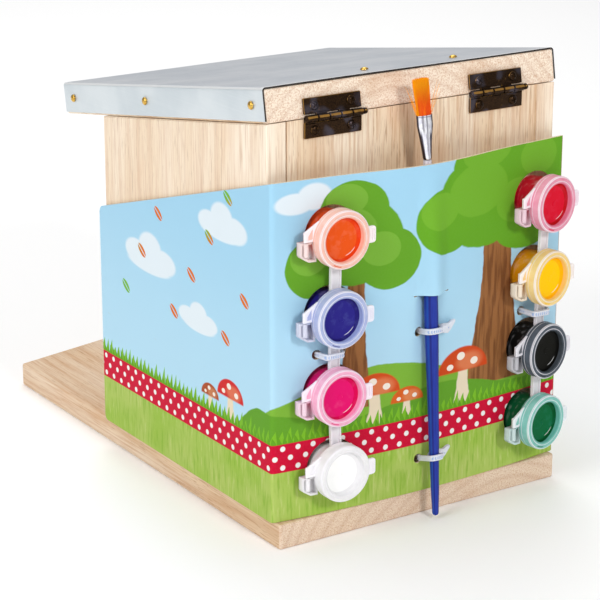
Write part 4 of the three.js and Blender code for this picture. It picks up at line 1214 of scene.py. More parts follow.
@dataclass(frozen=True)
class RawCard:
    """The card's unprinted inside and cut edges."""

    name: str = "raw_card"

    def build(self) -> Material:
        """Makes the material."""
        g = Graph(self.name)
        pulp, layer = g.noise(1.6, 3.0, 0.7), g.noise(0.25)
        colour = g.layers(g.mix(pulp.ramp(0.35, 0.7), "#EADBC2", "#CDB795"), (layer.ramp(0.5, 0.8) * 0.3, "#BFA680"))
        return g.finish(colour, layer * 0.1 + 0.72, (pulp, 0.4, 0.05))


class PrintDesign:
    """The picture on the card: sky, clouds, hills, round trees, toadstools and a dotted band.

    The chart runs along the unfolded sleeve: u is 0 at the middle of the back, positive towards the +X side,
    and v is the height. The folds lie at about u = 67 and u = -67.
    """

    CLOUDS = (
        (92, 118, 9, 5), (101, 121, 8, 6), (110, 117.5, 8, 4.5), (101, 115.5, 14, 3.5),
        (146, 92, 10, 5), (156, 95.5, 9, 6.5), (167, 92, 9, 5), (157, 88.5, 17, 3.5),
        (112, 76, 7, 3.6), (119, 78.5, 6.5, 4.6), (127, 76, 7, 3.6), (119, 73.8, 12, 2.8),
        (58, 133, 8, 4), (50, 135, 7, 5), (42, 132.5, 6, 3.5),
    )
    FAR_CROWN = ((34, 116, 20, 17), (20, 108, 13, 12), (49, 108, 13, 12), (34, 128, 14, 11))
    NEAR_CROWN = (
        (-26, 124, 26, 19), (-48, 116, 20, 16), (-6, 119, 15, 13), (-30, 138, 22, 12), (-58, 132, 16, 14),
    )
    TOADSTOOLS = (
        (24.0, 54.0, 11.0, "#D9501A"), (9.5, 49.0, 7.5, "#E0641F"), (-17.0, 56.0, 12.5, "#D84B17"),
        (-56.0, 50.0, 8.5, "#E0641F"), (96.0, 51.0, 9.5, "#DB2A2A"), (111.0, 47.5, 6.5, "#B5532A"),
        (-100.0, 52.0, 10.0, "#D9501A"), (-150.0, 50.0, 8.0, "#DB2A2A"),
    )
    DOT_PITCH, DOT_RADIUS = 6.3, 1.05

    def __init__(self) -> None:
        """Starts the material and takes its chart."""
        self.g = Graph("printed_card")
        self.u, self.v, _ = self.g.split(self.g.chart)
        self.wobble = self.speck(0.16, 0.16) - 0.5

    def speck(self, across: float, upward: float, detail: float = 2.0) -> Val:
        """Noise on the flat card, with one scale along it and one up it."""
        return self.g.noise((across, upward, 1.0), detail, place=self.g.chart)

    def disc(self, cx: float, cy: float, rx: float, ry: float, edge: float = 0.05, wavy: float = 0.0) -> Val:
        """A mask that is 1 inside an oval."""
        reach = ((self.u - cx) / rx).hypot((self.v - cy) / ry) + self.wobble * wavy
        return reach.ramp(1.0 + edge, 1.0 - edge)

    def union(self, discs: Sequence[Oval], edge: float, wavy: float = 0.0) -> Val:
        """A mask that is 1 inside any of several ovals."""
        return reduce(Val.above, [self.disc(*oval, edge, wavy) for oval in discs])

    def column(self, centre: float, foot: float, top: float, wide: float, flare: float) -> Val:
        """A mask for a trunk or stem that widens towards its foot."""
        share = self.v.ramp(top, foot)
        reach = (self.u - centre + self.wobble * 1.6).size() - share * share * flare
        return reach.ramp(wide + 0.3, wide - 0.3) * self.v.stripe(foot, top, 0.25)

    def hill(self, level: float, height: float, length: float, phase: float, low: float, high: float) -> Val:
        """A mask that is 1 under a rolling line, which runs down to the ground past two places.

        Args:
            level: the line's height.
            height: how far it rolls.
            length: from crest to crest.
            phase: where it starts.
            low: the first place where it ends.
            high: the other place.

        Returns:
            The mask.
        """
        ground = 38.0
        stretch = self.u.ramp(low - 16.0, low + 10.0) * self.u.ramp(high + 16.0, high - 10.0)
        rolling = (self.u / length + phase).do("SINE") * height + (level - ground)
        return (self.v - (rolling * stretch + self.wobble * 1.2 + ground)).ramp(0.3, -0.3)

    def blades(self, level: float, tall: float, pitch: float, lean: float) -> Val:
        """A mask of grass blades that stand on a level."""
        rough = self.g.noise(1.0, 1.0, place=self.g.joined(self.u * (0.9 / pitch), 3.0))
        saw = (self.u + self.v * lean).wrapped(pitch).size() / (pitch / 2)
        return (self.v - level - (1.0 - saw) * tall * (rough * 1.5)).ramp(0.25, -0.25)

    def tree(self, trunk: Val, bark: Val, crown: Sequence[Oval], leaf: str, shift: float, light: str) -> list[Coat]:
        """A round-crowned tree: its trunk, its crown and the light on the crown, shifted aside."""
        lit = [(x + shift, y + 4, a * 0.6, b * 0.55) for x, y, a, b in crown]
        return [(trunk, bark), (self.union(crown, 0.02, 0.07), leaf), (self.union(lit, 0.03, 0.09) * 0.7, light)]

    def toadstool(self, x: float, y: float, r: float, cap: str) -> list[Coat]:
        """A toadstool with a cream stem and pale spots.

        Args:
            x: its place along the card.
            y: the height of its cap's rim.
            r: its cap's radius.
            cap: its colour.

        Returns:
            The masks and their colours.
        """
        over = self.disc(x, y, r, r * 0.8, 0.04) * self.v.ramp(y - 0.4, y + 0.4)
        shine = self.disc(x - r * 0.25, y + r * 0.28, r * 0.5, r * 0.3, 0.35)
        spots = [(-0.45, 0.25, 0.15, 0.12), (0.1, 0.5, 0.16, 0.13), (0.52, 0.2, 0.13, 0.1)]
        spotted = self.union([(x + r * dx, y + r * dy, r * rx, r * ry) for dx, dy, rx, ry in spots], 0.08)
        stem = self.column(x, 41.5, y + 1.0, r * 0.2, r * 0.14)
        return [(stem, "#F3E3C6"), (over, cap), (shine * over * 0.3, "#FFC38A"), (spotted * over, "#FFF4E6")]

    def leaves(self) -> Coat:
        """Small leaves that drift over the sky of the side panels."""
        g, u, v = self.g, self.u, self.v
        a, b = (u * 0.8 + v * 0.6).wrapped(31.0), (v * 0.8 - u * 0.6).wrapped(23.0)
        leaf = (a * a / 13.0 + b * b / 3.0).do("SQRT").ramp(1.05, 0.95) * b.size().ramp(0.16, 0.3)
        where = u.size().ramp(74.0, 78.0) * v.ramp(58.0, 62.0)
        kind = g.noise(1.0, 0.0, place=g.joined(u * 0.018, v * 0.018, 2.0))
        return leaf * where, g.mix(kind.ramp(0.45, 0.55), "#E5761F", "#7DBE38")

    def meadow(self) -> Coat:
        """The pale meadow under the band, with upright strokes of grass."""
        stroke, patch = self.speck(0.9, 0.09, 3.0), self.speck(0.05, 0.05)
        grass = self.g.layers(
            self.g.mix(patch.ramp(0.3, 0.7), "#A2C64C", "#B9CF6A"),
            (stroke.ramp(0.5, 0.66) * 0.6, "#88B534"),
            (stroke.ramp(0.42, 0.34) * 0.5, "#CEDA86"),
        )
        return self.v.ramp(30.3, 29.9), grass

    def dotted_band(self) -> Coat:
        """A red band with three staggered rows of white dots."""
        rows = ((31.9, 0.0), (35.65, self.DOT_PITCH / 2), (39.4, 0.0))
        dots = [(self.u + shift).wrapped(self.DOT_PITCH).hypot(self.v - row) for row, shift in rows]
        dotted = reduce(Val.above, [dot.ramp(self.DOT_RADIUS + 0.15, self.DOT_RADIUS - 0.15) for dot in dots])
        return self.v.stripe(30.0, 41.3, 0.1), self.g.mix(dotted, "#D60236", "#FFFDFB")

    def paint(self) -> Material:
        """Lays the picture's layers over each other."""
        g, v = self.g, self.v
        bark = g.mix(self.speck(0.55, 0.05).ramp(0.42, 0.62), "#A06A3C", "#7F4F2A")
        far, near = self.column(33.0, 50.0, 112.0, 3.4, 3.0), self.column(-33.0, 48.0, 120.0, 7.5, 6.0)
        fine = self.speck(1.1, 1.1, 3.0)
        worn = (self.u + self.speck(0.8, 0.25, 3.0) * 0.5).stripe(-67.3, -66.5, 0.1)
        colour = g.layers(
            g.mix(v.ramp(45.0, 140.0), "#BDE6FB", "#A9DBF6"),
            (self.union(self.CLOUDS, 0.12) * 0.85, "#F4FBFF"),
            (self.hill(60.0, 6.0, 19.0, 0.4, -80.0, 76.0), "#82B93A"),
            *self.tree(far, bark, self.FAR_CROWN, "#68A826", 3, "#86BF42"),
            *self.tree(near, bark, self.NEAR_CROWN, "#69AC22", 4, "#7DBB32"),
            (self.hill(50.0, 3.5, 13.0, 2.1, -92.0, 86.0), "#67A629"),
            *[coat for place in self.TOADSTOOLS for coat in self.toadstool(*place)],
            self.leaves(),
            (self.blades(42.0, 7.0, 3.1, 0.18), "#80C128"),
            (self.blades(41.2, 5.0, 2.3, -0.22), "#67A81E"),
            self.meadow(),
            self.dotted_band(),
            (fine * 0.02, "#FFFFFF"),
            (worn * 0.85, "#B98E68"),
        )
        colour = g.mix(1.0, colour, (0.86, 0.86, 0.86, 1.0), "MULTIPLY")
        return g.finish(colour, fine * 0.08 + 0.38, (fine, 0.08, 0.05), Specular_IOR_Level=0.03)


# ---- card sleeve


def raised_cosine(distance: Reals, reach: float) -> Reals:
    """Half a wave that is 1 at no distance and 0 from the reach on."""
    return np.where(np.abs(distance) < reach, 0.5 + 0.5 * np.cos(np.pi * distance / reach), 0.0)


def panel_bulge(x: Reals, z: Reals) -> Reals:
    """How far the back panel stands out: a bow over its width and a ridge over the brush.

    Args:
        x: place across the panel.
        z: height on it.

    Returns:
        How far the card stands out, in millimetres.
    """
    bow = CARD.bow * (1 - (x / CARD.half) ** 2)
    fade = np.exp(-np.maximum(0.0, CARD.slit - z) / CARD.fade)
    return bow + CARD.ridge * raised_cosine(x - BRUSH.across, CARD.reach) * fade


def lip_shift(x: Reals, z: Reals) -> Reals:
    """How far the handle pushes the slit's upper lip out and its lower lip in.

    Args:
        x: place across the panel.
        z: height on it.

    Returns:
        The shift, in millimetres.
    """
    across = CARD.lip * raised_cosine(x - BRUSH.across, CARD.slit_half)
    upper = np.clip((CARD.top - z) / (CARD.top - CARD.slit), 0, 1)
    lower = -np.exp(np.minimum(0.0, z - CARD.slit) / CARD.lip_fade)
    return across * np.where(z > CARD.slit, upper, lower)


def card_face(x: float, z: float) -> float:
    """Distance of the card's outer face from the back wall."""
    return float(CARD.fold + panel_bulge(x, z) + lip_shift(x, z))


@dataclass
class Sleeve:
    """The printed card that wraps the sides and the back."""

    side_steps: int = 26
    fold_steps: int = 6
    half_panel: int = 60
    rows: int = 72

    def limits(self, y: Array) -> tuple[Array, Array]:
        """The sleeve's lower and upper edge by its place from front to back.

        Args:
            y: places from front to back.

        Returns:
            The lower and the upper edge.
        """
        rise = np.clip((y - CARD.front) / (CARD.fold - CARD.front), 0, 1)
        top = CARD.front_top + (CARD.top - CARD.front_top) * rise
        share = np.clip((y - CARD.front) / CARD.corner, 0, 1)
        ease = CARD.corner * (1 - np.sqrt(1 - (1 - share) ** 2))
        return CARD.foot + ease, top - ease

    def sheet(self) -> Shape:
        """The bent sheet before it is cut."""
        near = CARD.front + CARD.corner * np.linspace(0, 1, 5)
        far = np.linspace(CARD.front + CARD.corner, CARD.straight, self.side_steps)[1:]
        side = np.concatenate([near, far])
        line, facing = folded(side, CARD.half, CARD.fold, CARD.fold_radius, self.fold_steps, self.half_panel)
        low, high = self.limits(line[:, 1])
        z = low + (high - low) * np.linspace(0, 1, self.rows + 1)[:, None]
        bulge = panel_bulge(line[:, 0], z) * facing[:, 1] * (np.abs(line[:, 0]) <= CARD.flat + 1e-6)
        faces = []
        for depth in (0.0, CARD.thickness):
            x, y = (line - facing * depth).T
            faces.append(np.stack([np.broadcast_to(x, z.shape), y + bulge, z], -1))
        return sheet_between(*faces)

    def cutters(self, holes: Sequence[Point], ties: Sequence[Point]) -> list[Shape]:
        """Round cutters for the pots and ties, and a thin one for the slit.

        Args:
            holes: the pots' centres.
            ties: the tie holes' centres.

        Returns:
            The cutters.
        """
        near, far = 2.0, 22.0
        kinds = ((CARD.hole, 64, holes), (CARD.tie_hole, 28, ties))
        tools = [lathe([(r, near), (r, far)], n).moved(x, 0, z) for r, n, places in kinds for x, z in places]
        half, gap = CARD.slit_half, CARD.slit_gap / 2
        slit = boxed(BRUSH.across - half, CARD.slit - gap, BRUSH.across + half, CARD.slit + gap, 0.2, 2)
        return tools + [upright([slit], near, far, 0.01)]

    def chart(self, points: Array) -> Array:
        """Each point's place on the unfolded sleeve.

        Args:
            points: points of the sleeve.

        Returns:
            Length and height on the flat card.
        """
        x, y, z = points.T
        far, quarter = np.abs(x), CARD.fold_radius * math.pi / 2
        turn = np.arctan2(np.clip(y - CARD.straight, 0, None), np.clip(far - CARD.flat, 1e-9, None))
        fold = CARD.flat + quarter * (1 - turn / (math.pi / 2))
        side = np.where(y >= CARD.straight, fold, CARD.flat + quarter + CARD.straight - y)
        return np.stack([np.sign(x) * np.where(far <= CARD.flat, far, side), z], -1)

    def face_kind(self, centres: Array, normals: Array) -> Array:
        """Printed where a face looks outwards, raw card elsewhere.

        Args:
            centres: the faces' centres.
            normals: the faces' directions.

        Returns:
            0 for the printed finish, 1 for the raw one.
        """
        side = (np.abs(centres[:, 0]) > CARD.flat) & (centres[:, 1] < CARD.fold)
        outward = np.where(side, normals[:, 0] * np.sign(centres[:, 0]), normals[:, 1])
        return np.maximum(outward, np.where(side, normals[:, 1], outward)) <= 0.6

    def build(self, studio: Studio, holes: Sequence[Point], ties: Sequence[Point]) -> None:
        """Cuts the sheet, opens its slit and places it.

        Args:
            studio: where the pieces are placed.
            holes: the pots' centres.
            ties: the tie holes' centres.
        """
        shape = carved(self.sheet(), self.cutters(holes, ties))
        x, y, z = shape.points.T
        panel = (y > CARD.fold / 2) & (np.abs(x) < CARD.flat)
        shape.points[:, 1] += np.where(panel, lip_shift(x, z), 0.0)
        finishes = PrintDesign().paint(), RawCard().build()
        studio.add("sleeve", shape, "card_sleeve", "printed_card", *finishes,
                   chart=self.chart, face_kind=self.face_kind, sharp=40.0)


# ---- paint pots


@dataclass(frozen=True)
class StripLayout:
    """Where one strip of four pots hangs and what is in it."""

    side: str
    across: float
    top: float
    pitch: float
    rim: float
    turn: float
    sway: tuple[float, ...]
    paints: tuple[str, ...]

    def matrix(self) -> Matrix:
        """Carries the strip's own frame to the construction frame."""
        origin = Matrix.Translation((self.across, self.rim - LID.lap, self.top))
        return origin @ Matrix.Rotation(self.turn, 4, "Z")

    def spots(self) -> list[Point]:
        """The pots' axes in the strip's frame, from the top down."""
        return [(share * self.pitch, -i * self.pitch) for i, share in enumerate(self.sway)]

    def holes(self) -> list[Point]:
        """Where the card has a hole for each pot: on the pot's axis, and a little above it."""
        places = []
        for x, z in self.spots():
            centre = self.matrix() @ Vector((x, 0, z))
            behind = centre.y - CARD.fold - float(panel_bulge(centre.x, centre.z))
            places.append((centre.x + behind * math.tan(self.turn), centre.z + CARD.hole_rise))
        return places


LAYOUTS = (
    StripLayout("right", 43.494, 119.95, 30.4, 14.8, 0.0, (-0.003, 0.01, 0.02, -0.033),
                ("orange", "blue", "pink", "white")),
    StripLayout("left", -52.404, 118.7, 29.6, 16.2, math.radians(11), (-0.034, 0.0, 0.028, 0.038),
                ("red", "yellow", "black", "green")),
)


def pot_cup() -> Shape:
    """A pot: a tapering cup with a rolled foot, a collar and an open mouth."""
    foot, bore = LID.foot, LID.bore
    floor = foot + LID.pot_wall
    outside = [(0.6, foot + 0.25), (6.6, foot + 0.25), (7.0, foot), (7.9, foot)]
    outside += [*arc(8.35, foot + 0.6, 0.6, -90, -5, 4), (9.55, -1.95), (9.75, -1.7), (10.0, -1.5), (10.0, -0.4),
                (9.9, -0.2), (9.9, 2.35)]
    inside = [(9.75, 2.6), (bore(2.6) + 0.15, 2.6), (bore(2.4), 2.35), *((bore(h), h) for h in (-0.5, -3.0, -6.0))]
    inside += [(bore(floor) - 0.1, floor + 0.7), (bore(floor) - 0.7, floor), (0.6, floor)]
    return lathe(outside + inside, 56)


def knuckle(low: float, high: float) -> Shape:
    """The knuckle of a film hinge between two heights."""
    return bar(LID.knuckle, low, high, 20).by(TO_Z).moved(LID.hinge)


def pot_lug() -> Shape:
    """The pot's rounded ear below the lid's strap, with its knuckle."""
    top, low, out = LID.lug_top, LID.lug_top - LID.lug, LID.hinge + LID.lug_reach
    ear = rounded([(8.9, top, 0), (8.9, low, 0), (out - 3.6, low + 0.2, 1.0), (out, low + 2.5, 1.8), (out, top, 0.3)])
    hollow = rounded([
        (9.7, top - 0.9, 0.2), (9.7, low + 0.9, 0.2), (out - 3.7, low + 1.1, 0.8), (out - 0.85, low + 2.9, 1.3),
        (out - 0.85, top - 0.9, 0.2),
    ])
    return upright([ear, hollow], -3.1, -0.3, 0.2) + upright([ear], -3.05, -2.4, 0.1) + knuckle(low + LID.reach, top)


def link(start: Point, end: Point) -> Shape:
    """The link between two pots, from rim to rim: a channel with a raised lip along each side.

    Args:
        start: the centre of one pot.
        end: the centre of the next.

    Returns:
        The link.
    """
    run = Vector((end[0] - start[0], end[1] - start[1]))
    reach = 9.2
    half = [(2.3, -1.7), (2.3, -0.42), (2.18, -0.3), (1.78, -0.3), (1.66, -0.42), (1.6, -0.95)]
    across, depth = np.array(half + [(-x, depth) for x, depth in half[::-1]]).T
    along = np.concatenate([[reach], np.linspace(10.35, run.length - 10.35, 12), [run.length - reach]])
    rings = np.stack(np.broadcast_arrays(across, along[:, None], depth), -1)
    turned = capped(rings).by(Matrix.Rotation(math.atan2(-run.x, run.y), 4, "Z")).by(SWAPPED)
    return turned.moved(start[0], 0, start[1])


def lid_shell() -> Shape:
    """The lid: a skirt, a rounded rim with two fine rings, and a sunk middle."""
    top = LID.lap + LID.crown
    skirt = [(0.5, 2.9), (10.2, 2.9), (10.35, 2.75), (10.35, 0.15), (10.5, 0.0), (10.95, 0.0), (11.1, 0.15),
             (11.1, 1.2), (11.02, 1.3), (11.02, 1.5), (11.1, 1.6), *arc(10.4, top - 0.7, 0.7, 0, 90, 6)]
    crown = [(10.0, 0.0), (9.9, 0.08), (9.7, 0.08), (9.6, 0.0), (9.2, -0.05), (9.05, 0.04), (8.85, 0.04), (8.7, -0.06),
             (8.45, -0.1), (8.28, -0.25), (7.98, -1.55), (7.8, -1.8), (7.45, -1.9), (4.0, -1.92), (1.1, -1.92),
             (1.0, -1.8), (0.5, -1.8)]
    return lathe(skirt + [(r, top + h) for r, h in crown], 64)


def lid_strap() -> Shape:
    """The three-cornered strap above the lid's middle, with its window and knuckle."""
    foot, out, tall = 0.2, LID.hinge + LID.strap_reach, LID.strap
    frame = rounded([
        (10.4, foot, 0), (out, foot, 0.3), (out, foot + tall * 0.5, 0.8), (8.27, foot + tall, 0.6),
        (7.2, foot + tall * 0.9, 0.3),
    ])
    sill = foot + LID.border * 0.85
    window = rounded([
        (11.3, sill, 0.3), (out - LID.border * 0.85, sill, 0.3), (11.3, foot + tall * 0.5 + LID.border * 1.3, 0.3),
    ])
    pin = knuckle(foot, foot + tall / 2)
    return upright([frame, window], 0.0, 1.0, 0.2) + upright([frame], 0.25, 0.55, 0.08) + pin


def lid_tab() -> Shape:
    """The thumb tab with two grip ribs."""
    edge, half, top = -LID.radius - LID.tab_reach, LID.tab_width / 2, LID.tab_top
    outline = rounded([(-10.6, -half, 0), (-10.6, half, 0), (edge, half, 1.4), (edge, -half, 1.4)])
    ribs = [block((x - 0.18, top - 0.2, -half + 1.2), (x + 0.18, top + 0.25, half - 1.2), 0.08)
            for x in (edge + 0.7, edge + 1.5)]
    return joined_shapes([upright([outline], top - 1.0, top, 0.25), *ribs])


def paint_plug() -> Shape:
    """The paint in a pot, with its surface drawn up at the wall."""
    low, high = LID.foot + LID.pot_wall + 0.3, LID.lap - 2.2
    foot, edge = LID.bore(low), LID.bore(high) - 0.3
    return lathe([
        (0.5, low), (foot - 0.6, low), (foot - 0.3, low + 0.3), (edge, high), (edge - 0.25, high - 0.02),
        (edge - 0.9, high - 0.3), (edge - 2.2, high - 0.42), (0.5, high - 0.45),
    ], 56)


@dataclass
class PotStrip:
    """Four joined pots with their lids and paints."""

    layout: StripLayout
    plastic: Material

    def local(self, points: Array) -> Array:
        """Each point's place in the strip's own frame."""
        return carried(points, self.layout.matrix().inverted())

    def near(self, points: Array, spot: Point) -> Array:
        """1 on a pot and 0 outside its collar."""
        x, _, z = self.local(points).T
        return np.clip((10.3 - np.hypot(x - spot[0], z - spot[1])) / 0.2, 0, 1)

    def tint(self, points: Array, normals: Array) -> Array:
        """Colours each pot's plastic by its paint, deep where the paint stands behind it and pale at the collar.

        Args:
            points: the strip's vertices.
            normals: their directions; not used.

        Returns:
            A colour for each vertex.
        """
        x, y, z = self.local(points).T
        colours = np.tile(srgb("#F9F6FA"), (len(x), 1))
        for spot, paint in zip(self.layout.spots(), self.layout.paints):
            tone, share = TONES[paint], self.near(points, spot)
            ear = 0.5 * ((x - spot[0] > 9.0) & (np.abs(z - spot[1]) < 11.0))
            deep = share * np.clip((-1.3 - y) / 0.3, 0, 1)
            for amount, code in ((ear, tone.tint), (share, tone.tint), (deep, tone.cup)):
                colours += (np.array(srgb(code)) - colours) * amount[:, None]
        return colours

    def bare(self, points: Array, normals: Array) -> Array:
        """1 where no paint stands behind the plastic."""
        return np.min([1 - self.near(points, spot) for spot in self.layout.spots()], axis=0)

    def height(self, points: Array, normals: Array) -> Array:
        """How far a point stands out along the pots' axes."""
        return self.local(points)[:, 1]

    def build(self, studio: Studio) -> None:
        """Places the strip, its lids and its paints."""
        matrix, spots, side = self.layout.matrix(), self.layout.spots(), self.layout.side
        pot, lid, plug = pot_cup() + pot_lug(), lid_shell() + lid_strap() + lid_tab(), paint_plug()
        parts = []
        for i, (x, z) in enumerate(spots):
            parts += [pot.moved(x, 0, z)] + ([link(spots[i], spots[i - 1])] if i else [])
        strip = joined_shapes(parts).by(matrix)
        studio.add(f"pots_{side}", strip, f"pot_strip_{side}", "frosted_plastic", self.plastic,
                   marks={"tint": self.tint, "bare": self.bare})
        for spot, paint in zip(spots, self.layout.paints):
            place = matrix @ Matrix.Translation((spot[0], 0, spot[1]))
            studio.add(f"flip_lid_{paint}", lid.by(place), f"lid_{paint}", "frosted_plastic", TONES[paint].lid(),
                       body=f"lid_{paint}", marks={"height": self.height},
                       chart=lambda points, spot=spot: self.local(points)[:, [0, 2]] - spot)
            studio.add(f"poster_paint_{paint}", plug.by(place), f"paint_{paint}", f"paint_{paint}",
                       TONES[paint].paint())


# ---- roof


@dataclass
class Roof:
    """The folded sheet and its nails."""

    across_steps: int = 35
    long_steps: int = 64
    bend_steps: int = 8

    def dents(self, x: Array, y: Array, facing: Array) -> Array:
        """Small hollows and swells of the metal: slow waves, and a dimple round each nail.

        Args:
            x: place across the sheet.
            y: place along it.
            facing: the direction in which it faces there.

        Returns:
            How far the metal stands out there, in millimetres.
        """
        waves = 0.07 * np.sin(x / 17.0 + y / 41.0) * np.sin(y / 23.0 + 0.7) + 0.05 * np.sin(y / 9.0 + x / 29.0)
        depth = waves * np.clip((66.0 - np.abs(x)) / 8.0, 0, 1) * facing[:, 1]
        for inset in ROOF.nail_insets:
            depth = depth - 0.12 * np.exp(-((y + inset) ** 2) / 12.0) * np.abs(facing[:, 0])
        for place in ROOF.top_places:
            depth = depth - 0.15 * np.exp(-((x - place) ** 2 + (y + ROOF.top_inset) ** 2) / 14.0)
        return depth

    def sheet(self) -> Shape:
        """The folded sheet with its small dents."""
        side = np.linspace(ROOF.thickness - ROOF.flange, ROOF.top - ROOF.bend, 9)
        line, facing = folded(side, ROOF.outer, ROOF.top, ROOF.bend, self.bend_steps, self.across_steps)
        y = -np.linspace(0, ROOF.length, self.long_steps + 1)[:, None]
        press = self.dents(line[:, 0], y, facing)[..., None]
        faces = []
        for depth in (0.0, ROOF.sheet):
            spot = line + facing * (press - depth)
            faces.append(np.stack([spot[..., 0], np.broadcast_to(y, spot.shape[:2]), spot[..., 1]], -1))
        return sheet_between(*faces)

    def nail_places(self) -> list[tuple[Vector, Vector]]:
        """Each nail's seat and the direction of its head, in the order of the CAD nodes."""
        height = ROOF.thickness - ROOF.nail_drop
        sides = [(Vector((side * ROOF.outer, -i, height)), Vector((side, 0, 0)))
                 for side in (1, -1) for i in ROOF.nail_insets]
        return sides + [(Vector((x, -ROOF.top_inset, ROOF.top)), Vector((0, 0, 1))) for x in ROOF.top_places]

    def build(self, studio: Studio) -> None:
        """Places the sheet and the nails."""
        carry = ROOF.matrix()
        _, along, up = np.array(carry)[:3, :3].T
        rim = BrightMetal("cut_rim", "#5A5450", "#2C2826", 0.5).build()
        # The zinc reads the "top" mark to paint its flanges lighter than its top, and a highlight along its folds.
        studio.add("metal_cover", self.sheet().by(carry), "roof_sheet", "zinc", Zinc().build(), rim, body="roof",
                   sharp=50.0, marks={"top": lambda points, normals: normals @ up},
                   face_kind=lambda centres, normals: np.abs(normals @ along) > 0.7)
        brass = BrightMetal("bright_brass", "#E3BC62", "#C2953F", 0.2).build()
        shank = [(0.45, -8.0), (0.6, -7.0), (0.6, -0.1), (1.5, -0.1)]
        nail = lathe(shank + dome(1.6, 0.9, [0, 15, 30, 45, 60, 75, 85]), 32)
        for i, (seat, out) in enumerate(self.nail_places(), 1):
            turn = Vector((0, 1, 0)).rotation_difference(out).to_matrix().to_4x4()
            placed_nail = nail.by(turn).moved(*(seat + out * 0.2)).by(carry)
            studio.add(f"domed_nail_{i}", placed_nail, f"roof_nail_{i}", "brass", brass, body="roof")


# ---- hinges


